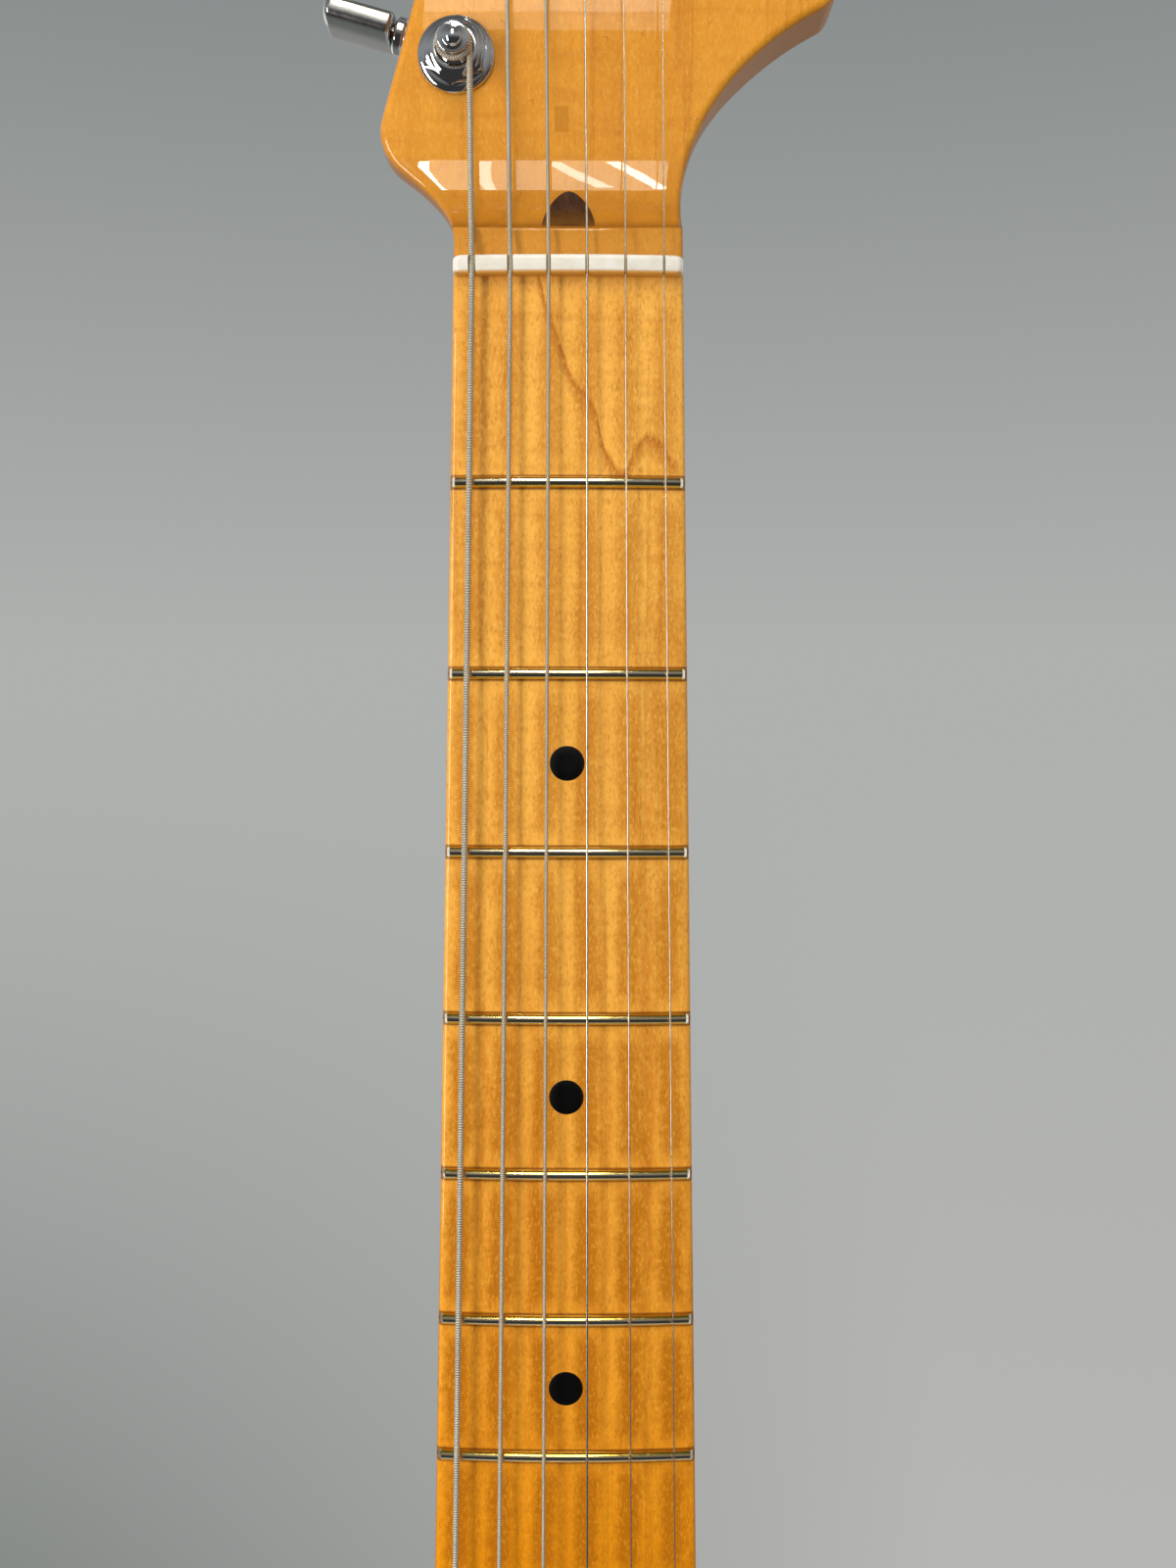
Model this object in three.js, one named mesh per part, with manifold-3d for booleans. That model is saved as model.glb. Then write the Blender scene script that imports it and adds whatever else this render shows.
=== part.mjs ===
// Electric guitar neck: maple neck and headstock in one piece, bone nut, 21 frets, dots, truss rod,
// six tuners in line and six strings.
// Millimetres. +Z runs along the neck to the headstock, the fingerboard faces -Y, the bass side is -X.
// The origin is the centre of the four neck bolts, on the flat back of the heel.

import * as THREE from 'three';
import { mergeVertices } from 'three/addons/utils/BufferGeometryUtils.js';
import Module from 'manifold-3d';

const wasm = await Module();
wasm.setup();

// Driving dimensions of the neck
const SCALE_LENGTH = 648;
const FRET_COUNT = 21;
const NUT_WIDTH = 41.3;
const HEEL_WIDTH = 56;
const HEEL_THICKNESS = 25.4;
const BOARD_RADIUS = 241;
const BOARD_PAST_LAST_FRET = 8.1;
const BOLT_SPACING_LONG = 50.8;
const BOLT_SPACING_WIDE = 38.1;
const BOLT_ROW_FROM_END = 12.7;
const BOLT_HOLE_DIAMETER = 3.3;
const BOLT_HOLE_DEPTH = 16;
const THICKNESS_AT_FRET_1 = 20.5;
const THICKNESS_AT_FRET_12 = 22.5;
const SIDE_DEPTH = 2.6;
const SPINE_FLAT = 1.6;
const BOARD_EDGE_ROLL = 1;
const HEEL_PAD_LENGTH = 76;
const HEEL_SWEEP = 32;
const HEEL_CORNER = 2;

// Headstock
const HEADSTOCK_THICKNESS = 14.3;
const HEADSTOCK_EDGE_ROUND = 1.6;
const HEADSTOCK_ANGLE = 15.6;
const SHELF_LENGTH = 8.5;
const COVE_RADIUS = 17.5;
const BACK_SWEEP_BELOW_NUT = 10;
const BACK_SWEEP_ABOVE_NUT = 22;
const FLANK_INSET = 5;
const FLANK_DEPTH = 11.5;
const FLANK_RISE = 20;
const BASS_FLANK_RUN = 11.6;
const TREBLE_FLANK_RUN = 25;
const BASS_FLARE_RISE = 6;
const BASS_CORNER_RISE = 31.6;
const TREBLE_FLARE_RISE = 13;
const TREBLE_CORNER_RISE = 57.3;
const TREBLE_REACH = 49.6;
const TIP_PAST_LAST_POST = 18.8;
const TIP_TO_TREBLE_OF_LAST_POST = 3.6;
const BASS_TIP_ROUND = 12;

// Nut, frets and dots
const NUT_THICKNESS = 3.4;
const NUT_HEIGHT = 2.7;
const NUT_SLOT_DEPTH = 3;
const NUT_END_ROUND = 1.2;
const NUT_EDGE_ROUND = 0.4;
const NUT_END_INSET = 0.15;
const FRET_WIDTH = 2.1;
const FRET_HEIGHT = 1.1;
const FRET_END_INSET = 0.45;
const FRET_END_BEVEL = 0.75;
const TANG_WIDTH = 0.55;
const TANG_DEPTH = 1.6;
const TANG_CLEARANCE = 0.1;
const DOT_DIAMETER = 6.35;
const DOT_DEPTH = 1.8;
const TWELFTH_DOT_OFFSET = 12.5;

// Truss rod, and the walnut that closes its channel
const ROD_DIAMETER = 4.8;
const ROD_DEPTH = 9.6;
const ROD_BOW = 2.6;
const ROD_CLEARANCE = 0.3;
const CHANNEL_WIDTH = 6.4;
const CHANNEL_PAST_PAD = 14;
const CHANNEL_SHORT_OF_NUT = 24;
const ANCHOR_DIAMETER = 8;
const ANCHOR_BELOW_NUT = 6;
const ANCHOR_LENGTH = 10;
const TRUSS_NUT_DIAMETER = 8;
const TRUSS_NUT_LENGTH = 14;
const TRUSS_NUT_INSET = 0.6;
const TRUSS_NUT_BORE_DEPTH = 9;
const TRUSS_NUT_CLEARANCE = 0.4;
const CROSS_SLOT_WIDTH = 1.3;
const CROSS_SLOT_LENGTH = 5.6;
const CROSS_SLOT_DEPTH = 2.6;
const PLUG_RADIUS = 4.8;
const PLUG_DEPTH = 4.5;
const PLUG_FLAT_DEPTH = 2.2;
const PLUG_INNER_RISE = 5;

// Tuners, by their place along the bass edge of the headstock
const TUNER_COUNT = 6;
const TUNER_PITCH = 25.4;
const FIRST_POST_RISE = 42.9;
const FIRST_POST_TO_BASS = 20.8;
const EDGE_TO_POST = 10.4;
const TUNER_HOLE_DIAMETER = 10;
const BARREL_DIAMETER = 9.4;
const FLANGE_DIAMETER = 14.3;
const FLANGE_THICKNESS = 1.2;
const FLANGE_EDGE = 0.4;
const HEX_ACROSS_CORNERS = 12.4;
const HEX_HEIGHT = 2.2;
const HEX_CHAMFER = 0.9;
const HEX_TURN = 24;
const POST_BORE_DIAMETER = 6.6;
const POST_STEM_DIAMETER = 6;
const POST_WAIST_DIAMETER = 4.2;
const POST_RIM_DIAMETER = 5.7;
const POST_TIP_DIAMETER = 3.5;
const POST_SHOULDER_HEIGHT = 3.2;
const POST_WAIST_START = 4.3;
const POST_WAIST_END = 7.7;
const POST_RIM_HEIGHT = 8.5;
const POST_TIP_HEIGHT = 9.7;
const POST_BORE_FLOOR = 2;
const HOUSING_HEIGHT = 11.4;
const HOUSING_EDGE = 1.3;
const HOUSING_TO_EDGE_OF_HEAD = 0.6;
const HOUSING_INWARD = 9;
const HOUSING_TIPWARD = 12.3;
const HOUSING_NUTWARD = 9;
const HOUSING_CORNER = 4;
const WORM_OFFSET = 7.8;
const WORM_HEIGHT = 6.6;
const BOSS_DIAMETER = 6.6;
const BOSS_REACH = 14.1;
const COLLAR_DIAMETER = 7.4;
const COLLAR_LENGTH = 2.1;
const SHAFT_DIAMETER = 3.4;
const SHAFT_BORE_DIAMETER = 4;
const SHAFT_DEPTH = 20;
const SHAFT_END_GAP = 0.4;
const BUTTON_GAP = 0.3;
const BUTTON_LENGTH = 13.4;
const BUTTON_BREADTH = 13;
const BUTTON_THICKNESS = 5.7;
const BUTTON_EDGE = 1.3;

// Strings, from the low one to the high one
const STRING_DIAMETERS = [1.07, 0.81, 0.61, 0.41, 0.28, 0.23];
const WRAP_TURNS_COUNTS = [1.5, 1.5, 1.5, 2, 2, 2];
const STRING_SPREAD_AT_NUT = 34.1;
const STRING_SPREAD_AT_SADDLES = 52;
const FIRST_FRET_CLEARANCE = 0.6;
const ACTION_AT_FRET_12 = 1.8;
const SLOT_CLEARANCE = 0.12;
const WRAP_SPACING = 0.45;
const WRAP_TO_POST = 0.15;
const FIRST_WRAP_HEIGHT = 4.9;
const BALL_PAST_HEEL = 12;
const BALL_DIAMETER = 3.8;
const BALL_WIDTH = 3.2;

// Fits and cuts
const WOOD_GAP = 0.04;
const SEAT_GAP = 0.06;
const HARDWARE_GAP = 0.1;
const OVERRUN = 1;
const KEY_LENGTH = 1.5;

// Counts of faces and steps, and exponents of curves
const OCTAVE_FRETS = 12;
const BOARD_FACETS = 6;
const ROUND_STEPS = 3;
const FLANK_STEPS = 4;
const BACK_STEPS = 7;
const SMALL_SIDES = 12;
const DOT_SIDES = 16;
const FLANGE_SIDES = 18;
const HEX_SIDES = 6;
const LOOP_STEPS = 20;
const STRING_SIDES = 6;
const SHAFT_FULLNESS = 2.3;
const ROUND_FULLNESS = 2;
const BUTTON_FULLNESS = 3.2;

// Places that follow from the driving dimensions
const CROWN_Y = -HEEL_THICKNESS;
const FACE_Y = -HEADSTOCK_THICKNESS;
const HEEL_END = -(BOLT_ROW_FROM_END + BOLT_SPACING_LONG / 2);
const PAD_END = HEEL_END + HEEL_PAD_LENGTH;
const Z_NUT = HEEL_END + BOARD_PAST_LAST_FRET + fretDistance(FRET_COUNT);
const LIP_Z = Z_NUT + SHELF_LENGTH;
const COVE_DEPTH = FACE_Y - CROWN_Y;
const LIP_ANGLE = Math.acos(1 - COVE_DEPTH / COVE_RADIUS);
const COVE_END = LIP_Z + COVE_RADIUS * Math.sin(LIP_ANGLE);
const HEAD_SLOPE = Math.tan(radians(HEADSTOCK_ANGLE));
const HEAD_COS = Math.cos(radians(HEADSTOCK_ANGLE));
const HEAD_SIN = Math.sin(radians(HEADSTOCK_ANGLE));
const JOIN_Z = Z_NUT + BASS_CORNER_RISE;
const ROD_Y = CROWN_Y + ROD_DEPTH;
const CHANNEL_START = PAD_END + CHANNEL_PAST_PAD;
const CHANNEL_END = Z_NUT - CHANNEL_SHORT_OF_NUT;

const ALONG_X = new THREE.Vector3(1, 0, 0);
const ALONG_Y = new THREE.Vector3(0, 1, 0);
const ALONG_Z = new THREE.Vector3(0, 0, 1);
// Directions of a tuner: outward across the bass edge, and along that edge to the tip
const OUTWARD = new THREE.Vector3(-HEAD_COS, 0, HEAD_SIN);
const TIPWARD = new THREE.Vector3(HEAD_SIN, 0, HEAD_COS);

function radians(degrees) {
  return THREE.MathUtils.degToRad(degrees);
}

function fretDistance(fret) {
  return SCALE_LENGTH * (1 - 2 ** (-fret / OCTAVE_FRETS));
}

function fretZ(fret) {
  return Z_NUT - fretDistance(fret);
}

function mix(a, b, share) {
  return a + (b - a) * share;
}

function smooth(value, start, end) {
  return THREE.MathUtils.smoothstep(value, start, end);
}

// Steps from 0 to 1, both ends included
function steps(count) {
  return Array.from({ length: count + 1 }, (_, i) => i / count);
}

// Solids and meshes

function orientedOutward(geometry) {
  const position = geometry.attributes.position;
  const index = geometry.index.array;
  const [a, b, c] = [new THREE.Vector3(), new THREE.Vector3(), new THREE.Vector3()];
  let volume = 0;
  for (let i = 0; i < index.length; i += 3) {
    a.fromBufferAttribute(position, index[i]);
    b.fromBufferAttribute(position, index[i + 1]);
    c.fromBufferAttribute(position, index[i + 2]);
    volume += a.dot(b.cross(c));
  }
  if (volume < 0) {
    for (let i = 0; i < index.length; i += 3) {
      [index[i], index[i + 1]] = [index[i + 1], index[i]];
    }
  }
  return geometry;
}

function solid(geometry) {
  const bare = geometry.clone();
  bare.deleteAttribute('normal');
  bare.deleteAttribute('uv');
  const merged = orientedOutward(mergeVertices(bare));
  return new wasm.Manifold(new wasm.Mesh({
    numProp: 3,
    vertProperties: new Float32Array(merged.attributes.position.array),
    triVerts: new Uint32Array(merged.index.array),
  }));
}

function geometryOf(body) {
  const mesh = body.getMesh();
  const geometry = new THREE.BufferGeometry();
  geometry.setAttribute('position', new THREE.BufferAttribute(mesh.vertProperties, 3));
  geometry.setIndex(new THREE.BufferAttribute(mesh.triVerts, 1));
  geometry.computeVertexNormals();
  return geometry;
}

function placed(geometry, origin, xAxis, yAxis, zAxis) {
  const matrix = new THREE.Matrix4().makeBasis(xAxis, yAxis, zAxis).setPosition(origin);
  return geometry.applyMatrix4(matrix);
}

// A planar ring's triangles, in the order of the ring
function capFaces(ring) {
  const normal = new THREE.Vector3();
  ring.forEach((point, i) => {
    const next = ring[(i + 1) % ring.length];
    normal.x += (point.y - next.y) * (point.z + next.z);
    normal.y += (point.z - next.z) * (point.x + next.x);
    normal.z += (point.x - next.x) * (point.y + next.y);
  });
  normal.normalize();
  const aside = Math.abs(normal.x) < Math.abs(normal.z) ? ALONG_X : ALONG_Z;
  const u = new THREE.Vector3().crossVectors(aside, normal).normalize();
  const v = new THREE.Vector3().crossVectors(normal, u);
  const flat = ring.map((point) => new THREE.Vector2(point.dot(u), point.dot(v)));
  return THREE.ShapeUtils.triangulateShape(flat, []).map(([a, b, c]) => {
    const turn = flat[b].clone().sub(flat[a]).cross(flat[c].clone().sub(flat[a]));
    return turn > 0 ? [a, b, c] : [a, c, b];
  });
}

// A closed skin through rings that have as many points each
function loft(rings) {
  const count = rings[0].length;
  const faces = [];
  capFaces(rings[0]).forEach(([a, b, c]) => faces.push(a, c, b));
  for (let r = 0; r + 1 < rings.length; r += 1) {
    for (let i = 0; i < count; i += 1) {
      const here = r * count + i;
      const next = r * count + ((i + 1) % count);
      faces.push(here, next, next + count, here, next + count, here + count);
    }
  }
  const last = (rings.length - 1) * count;
  capFaces(rings[rings.length - 1]).forEach(([a, b, c]) => faces.push(last + a, last + b, last + c));
  const geometry = new THREE.BufferGeometry().setFromPoints(rings.flat());
  geometry.setIndex(faces);
  return orientedOutward(geometry);
}

// A profile of radii and heights, turned round an axis
function revolved(profile, sides, origin, axis, aside, turn = 0) {
  const points = profile.map(([radius, height]) => new THREE.Vector2(radius, height));
  const lathe = new THREE.LatheGeometry(points, sides, turn);
  return placed(lathe, origin, aside, axis, new THREE.Vector3().crossVectors(aside, axis));
}

function rod(radius, start, end, sides, origin, axis, aside) {
  return revolved([[0, start], [radius, start], [radius, end], [0, end]], sides, origin, axis, aside);
}

function block(xRange, yRange, zRange) {
  const size = [xRange, yRange, zRange].map(([low, high]) => high - low);
  const middle = [xRange, yRange, zRange].map(([low, high]) => (low + high) / 2);
  return new THREE.BoxGeometry(...size).translate(...middle);
}

// A profile in Y and Z, drawn out along X to both sides of the centre line
function acrossNeck(outline, width) {
  const shape = new THREE.Shape(outline);
  const extruded = new THREE.ExtrudeGeometry(shape, { depth: width, bevelEnabled: false });
  return placed(extruded, new THREE.Vector3(-width / 2, 0, 0), ALONG_Y, ALONG_Z, ALONG_X);
}

// Outline of the neck and headstock, seen from the front, as points of X and Z

function halfWidth(z) {
  return mix(HEEL_WIDTH, NUT_WIDTH, (z - HEEL_END) / (Z_NUT - HEEL_END)) / 2;
}

function postPlace(tuner) {
  const along = tuner * TUNER_PITCH;
  return new THREE.Vector3(
    along * HEAD_SIN - FIRST_POST_TO_BASS,
    0,
    Z_NUT + FIRST_POST_RISE + along * HEAD_COS,
  );
}

function bassEdgeX(z) {
  const first = postPlace(0);
  return first.x - EDGE_TO_POST / HEAD_COS + (z - first.z) * HEAD_SLOPE;
}

// Points of a chain of cubic curves whose control points are shares of the way from start to end
function curveChain(start, end, curvesShares, stepCount) {
  const at = ([x, z]) => new THREE.Vector2(mix(start.x, end.x, x), mix(start.y, end.y, z));
  let from = start;
  const points = [start];
  curvesShares.forEach((controls) => {
    const [b, c, d] = controls.map(at);
    points.push(...new THREE.CubicBezierCurve(from, b, c, d).getPoints(stepCount).slice(1));
    from = d;
  });
  return points;
}

const BASS_FLARE_SHARES = [
  [[0, 0.234], [0.278, 0.414], [0.63, 0.57]],
  [[0.68, 0.592], [0.72, 0.613], [0.771, 0.635]],
  [[1.011, 0.746], [1.051, 0.898], [1, 1]],
];
const TREBLE_FLARE_SHARES = [
  [[0, 0.451], [0.478, 0.729], [0.904, 0.876]],
  [[0.971, 0.898], [1, 0.946], [1, 1]],
];
const TREBLE_SIDE_SHARES = [
  [[0, 0.116], [0.494, 0.274], [0.586, 0.495]],
  [[0.647, 0.645], [0.625, 0.75], [0.644, 0.85]],
  [[0.663, 0.953], [0.816, 1], [1, 1]],
];
const BASS_TIP_SHARES = [[[0.19, 0.72], [0.6, 1], [1, 1]]];
const FLARE_STEPS = 8;
const TIP_STEPS = 5;

function headstockOutline() {
  const last = postPlace(TUNER_COUNT - 1);
  const tip = new THREE.Vector2(last.x + TIP_TO_TREBLE_OF_LAST_POST, last.z + TIP_PAST_LAST_POST);
  const bassStartZ = Z_NUT + BASS_FLARE_RISE;
  const bassStart = new THREE.Vector2(-halfWidth(bassStartZ), bassStartZ);
  const bassCorner = new THREE.Vector2(bassEdgeX(JOIN_Z), JOIN_Z);
  const tipStartZ = tip.y - BASS_TIP_ROUND;
  const tipStart = new THREE.Vector2(bassEdgeX(tipStartZ), tipStartZ);
  const trebleStartZ = Z_NUT + TREBLE_FLARE_RISE;
  const trebleStart = new THREE.Vector2(halfWidth(trebleStartZ), trebleStartZ);
  const trebleCorner = new THREE.Vector2(TREBLE_REACH, Z_NUT + TREBLE_CORNER_RISE);
  const bass = [
    ...curveChain(bassStart, bassCorner, BASS_FLARE_SHARES, FLARE_STEPS),
    ...curveChain(tipStart, tip, BASS_TIP_SHARES, TIP_STEPS),
  ];
  const treble = [
    ...curveChain(trebleStart, trebleCorner, TREBLE_FLARE_SHARES, FLARE_STEPS),
    ...curveChain(trebleCorner, tip, TREBLE_SIDE_SHARES, TIP_STEPS).slice(1),
  ];
  return { bass, treble };
}

const OUTLINE = headstockOutline();

// X of one edge of the wood at a height, below the flare and in it
function edgeX(side, z) {
  const points = side < 0 ? OUTLINE.bass : OUTLINE.treble;
  if (z <= points[0].y) return side * halfWidth(z);
  const next = points.findIndex((point) => point.y >= z);
  const [a, b] = [points[next - 1], points[next]];
  return mix(a.x, b.x, (z - a.y) / (b.y - a.y));
}

function edgeStretch(side, z) {
  const slope = (edgeX(side, z + WOOD_GAP) - edgeX(side, z - WOOD_GAP)) / (WOOD_GAP * 2);
  return Math.hypot(1, slope);
}

// Surfaces of the neck

function boardY(x) {
  return CROWN_Y + BOARD_RADIUS - Math.sqrt(BOARD_RADIUS ** 2 - x ** 2);
}

// The front of the wood: the board's crown, then the hollow that falls from the shelf to the face
function frontY(x, z) {
  if (z <= LIP_Z) return boardY(x);
  const reach = Math.min(Math.max(COVE_END - z, 0) / COVE_RADIUS, 1);
  const cove = FACE_Y - COVE_RADIUS * (1 - Math.cos(Math.asin(reach)));
  return Math.max(boardY(x), cove);
}

function heelShare(z) {
  return 1 - smooth(z, PAD_END, PAD_END + HEEL_SWEEP);
}

function headShare(z) {
  return smooth(z, Z_NUT - BACK_SWEEP_BELOW_NUT, Z_NUT + BACK_SWEEP_ABOVE_NUT);
}

function blockShare(z) {
  return Math.max(heelShare(z), headShare(z));
}

// The back of the wood on the centre line
function backY(z) {
  const share = (z - fretZ(1)) / (fretZ(OCTAVE_FRETS) - fretZ(1));
  const shaft = CROWN_Y + mix(THICKNESS_AT_FRET_1, THICKNESS_AT_FRET_12, share);
  return mix(shaft, 0, blockShare(z));
}

function frontRound(z) {
  return mix(BOARD_EDGE_ROLL, HEADSTOCK_EDGE_ROUND, smooth(z, LIP_Z, COVE_END));
}

// How much of the neck's own round flank the headstock keeps above the nut
function flankShare(side, z) {
  const start = Z_NUT + FLANK_RISE;
  return 1 - smooth(z, start, start + (side > 0 ? TREBLE_FLANK_RUN : BASS_FLANK_RUN));
}

// The round at the back edge: how far it goes inward, and how far along the thickness
function backRoundInset(side, z) {
  if (z < fretZ(OCTAVE_FRETS)) return HEEL_CORNER;
  return mix(HEADSTOCK_EDGE_ROUND, FLANK_INSET, flankShare(side, z));
}

function backRoundDepth(side, z) {
  if (z < fretZ(OCTAVE_FRETS)) return HEEL_CORNER;
  return mix(HEADSTOCK_EDGE_ROUND, FLANK_DEPTH, flankShare(side, z));
}

// One side of a section, from the front round to the flat on the back
function sidePoints(side, z) {
  const edge = Math.abs(edgeX(side, z));
  const stretch = edgeStretch(side, z);
  const round = frontRound(z);
  const inner = edge - round * stretch;
  const innerY = frontY(inner, z);
  const points = steps(ROUND_STEPS).slice(1).map((share) => {
    const angle = share * Math.PI / 2;
    return [inner + round * stretch * Math.sin(angle), innerY + round * (1 - Math.cos(angle))];
  });
  const blocky = blockShare(z);
  const flat = mix(SPINE_FLAT / 2, edge - backRoundInset(side, z) * stretch, blocky);
  const back = backY(z);
  const start = mix(innerY + round + SIDE_DEPTH, back - backRoundDepth(side, z), blocky);
  const power = 2 / mix(SHAFT_FULLNESS, ROUND_FULLNESS, blocky);
  steps(BACK_STEPS).forEach((share) => {
    const angle = share * Math.PI / 2;
    const x = mix(flat, edge, Math.max(Math.cos(angle), 0) ** power);
    points.push([x, mix(start, back, Math.sin(angle) ** power)]);
  });
  return { inner, points };
}

function neckSection(z, shrink = 1) {
  const treble = sidePoints(1, z);
  const bass = sidePoints(-1, z);
  const front = steps(BOARD_FACETS).map((share) => {
    const x = mix(-bass.inner, treble.inner, share);
    return [x, frontY(x, z)];
  });
  const mirrored = bass.points.map(([x, y]) => [-x, y]).reverse();
  const ring = [...front, ...treble.points, ...mirrored];
  const middle = (frontY(0, z) + backY(z)) / 2;
  return ring.map(([x, y]) => new THREE.Vector3(x * shrink, mix(middle, y, shrink), z));
}

const HEEL_SWEEP_STEPS = 6;
const HEAD_SWEEP_STEPS = 4;
const COVE_STEPS = 7;
const CORNER_STEPS = 3;
const KEY_SHARE = 0.94;

function shaftBlank() {
  const heelSweep = steps(HEEL_SWEEP_STEPS).map((share) => PAD_END + HEEL_SWEEP * share);
  const sweepStart = Z_NUT - BACK_SWEEP_BELOW_NUT;
  const headSweep = steps(HEAD_SWEEP_STEPS).map((share) => mix(sweepStart, Z_NUT + BASS_FLARE_RISE, share));
  const cove = steps(COVE_STEPS).map((share) => COVE_END - COVE_RADIUS * Math.sin(LIP_ANGLE * (1 - share)));
  const lipDrop = (boardY(halfWidth(LIP_Z)) - CROWN_Y) / Math.tan(LIP_ANGLE);
  const corner = steps(CORNER_STEPS).map((share) => mix(COVE_END, JOIN_Z, share)).slice(1);
  const places = [
    HEEL_END, ...heelSweep, fretZ(OCTAVE_FRETS), fretZ(1), ...headSweep,
    LIP_Z, LIP_Z + lipDrop, ...cove.slice(1), ...corner,
  ];
  const rings = places.map((z) => neckSection(z));
  const key = neckSection(JOIN_Z, KEY_SHARE).map((point) => point.setZ(JOIN_Z + KEY_LENGTH));
  return loft([...rings, key]);
}

// The headstock above the join: its outline at each height of the rounded edges
function headstockBlank() {
  const bass = OUTLINE.bass.filter((point) => point.y >= JOIN_Z);
  const treble = OUTLINE.treble.filter((point) => point.y > JOIN_Z).slice(0, -1);
  const path = [...bass, ...treble.reverse(), new THREE.Vector2(edgeX(1, JOIN_Z), JOIN_Z)];
  const inset = (distanceAt) => path.map((point, i) => {
    const distance = distanceAt(point);
    if (i === 0) return new THREE.Vector2(point.x + distance * edgeStretch(-1, JOIN_Z), JOIN_Z);
    if (i === path.length - 1) {
      return new THREE.Vector2(point.x - distance * edgeStretch(1, JOIN_Z), JOIN_Z);
    }
    const before = point.clone().sub(path[i - 1]).normalize();
    const after = path[i + 1].clone().sub(point).normalize();
    const inward = new THREE.Vector2(before.y + after.y, -before.x - after.x).normalize();
    const miter = inward.dot(new THREE.Vector2(before.y, -before.x));
    return point.clone().addScaledVector(inward, distance / miter);
  });
  const angles = (count) => steps(count).map((share) => share * Math.PI / 2);
  const backRings = angles(FLANK_STEPS).map((angle) => {
    const inward = 1 - Math.sin(angle);
    const rise = 1 - Math.cos(angle);
    return inset(({ x, y }) => inward * backRoundInset(x, y)).map((point, i) => (
      new THREE.Vector3(point.x, -rise * backRoundDepth(path[i].x, path[i].y), point.y)
    ));
  });
  const frontRings = angles(ROUND_STEPS).map((angle) => {
    const inward = HEADSTOCK_EDGE_ROUND * (1 - Math.sin(angle));
    const rise = HEADSTOCK_EDGE_ROUND * (1 - Math.cos(angle));
    return inset(() => inward).map((point) => new THREE.Vector3(point.x, FACE_Y + rise, point.y));
  });
  const rings = [...backRings, ...frontRings.reverse()];
  return loft(rings);
}

// Cuts in the neck

function nutSlot() {
  const across = halfWidth(Z_NUT) + OVERRUN;
  const floor = CROWN_Y + NUT_SLOT_DEPTH;
  return block([-across, across], [CROWN_Y - OVERRUN, floor], [Z_NUT, Z_NUT + NUT_THICKNESS]);
}

function fretSlot(fret) {
  const z = fretZ(fret);
  const across = halfWidth(z) + OVERRUN;
  const reach = TANG_WIDTH / 2 + TANG_CLEARANCE;
  const floor = boardY(halfWidth(z)) + TANG_DEPTH + TANG_CLEARANCE;
  return block([-across, across], [CROWN_Y - OVERRUN, floor], [z - reach, z + reach]);
}

// Dots as a fret space and a distance from the centre line
const DOT_PLACES = [
  { name: 'dot_03', fret: 3, aside: 0 },
  { name: 'dot_05', fret: 5, aside: 0 },
  { name: 'dot_07', fret: 7, aside: 0 },
  { name: 'dot_09', fret: 9, aside: 0 },
  { name: 'dot_12_bass', fret: 12, aside: -TWELFTH_DOT_OFFSET },
  { name: 'dot_12_treble', fret: 12, aside: TWELFTH_DOT_OFFSET },
  { name: 'dot_15', fret: 15, aside: 0 },
  { name: 'dot_17', fret: 17, aside: 0 },
  { name: 'dot_19', fret: 19, aside: 0 },
];

// A disc square to the crowned board, from one depth under the crown to another
function dotDisc({ fret, aside }, radius, from, to) {
  const z = (fretZ(fret - 1) + fretZ(fret)) / 2;
  const tilt = Math.asin(aside / BOARD_RADIUS);
  const axisY = CROWN_Y + BOARD_RADIUS;
  const disc = new THREE.CylinderGeometry(radius, radius, to - from, DOT_SIDES);
  return disc.translate(0, (from + to) / 2 - BOARD_RADIUS, z).rotateZ(tilt).translate(0, axisY, 0);
}

function rodBow(z) {
  const share = (z - CHANNEL_START) / (CHANNEL_END - CHANNEL_START);
  return share <= 0 || share >= 1 ? 0 : ROD_BOW * Math.sin(Math.PI * share) ** 2;
}

const BOW_STEPS = 10;

// The channel's profile in Y and Z: a floor that follows the bowed rod, open at the back
function channelOutline(floorOffset, endInset) {
  const start = CHANNEL_START + endInset;
  const end = CHANNEL_END - endInset;
  const floor = steps(BOW_STEPS).map((share) => {
    const z = mix(start, end, share);
    return new THREE.Vector2(ROD_Y + rodBow(z) + floorOffset, z);
  });
  return [new THREE.Vector2(OVERRUN, start), ...floor, new THREE.Vector2(OVERRUN, end)];
}

function boreAlong(diameter, y, start, end, sides = SMALL_SIDES) {
  return rod(diameter / 2, start, end, sides, new THREE.Vector3(0, y, 0), ALONG_Z, ALONG_X);
}

function trussCuts() {
  const reach = ROD_DIAMETER / 2 + ROD_CLEARANCE;
  const anchorStart = Z_NUT - ANCHOR_BELOW_NUT - ROD_CLEARANCE;
  const counterbore = TRUSS_NUT_INSET + TRUSS_NUT_LENGTH + TRUSS_NUT_CLEARANCE;
  return [
    acrossNeck(channelOutline(-reach, 0), CHANNEL_WIDTH),
    boreAlong(reach * 2, ROD_Y, HEEL_END + counterbore - OVERRUN, CHANNEL_START + OVERRUN),
    boreAlong(reach * 2, ROD_Y, CHANNEL_END - OVERRUN, anchorStart + OVERRUN),
    boreAlong(ANCHOR_DIAMETER + ROD_CLEARANCE * 2, ROD_Y, anchorStart, Z_NUT + PLUG_INNER_RISE),
    boreAlong(
      TRUSS_NUT_DIAMETER + TRUSS_NUT_CLEARANCE * 2, ROD_Y, HEEL_END - OVERRUN, HEEL_END + counterbore,
    ),
    plugPrism(WOOD_GAP),
  ];
}

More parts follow.
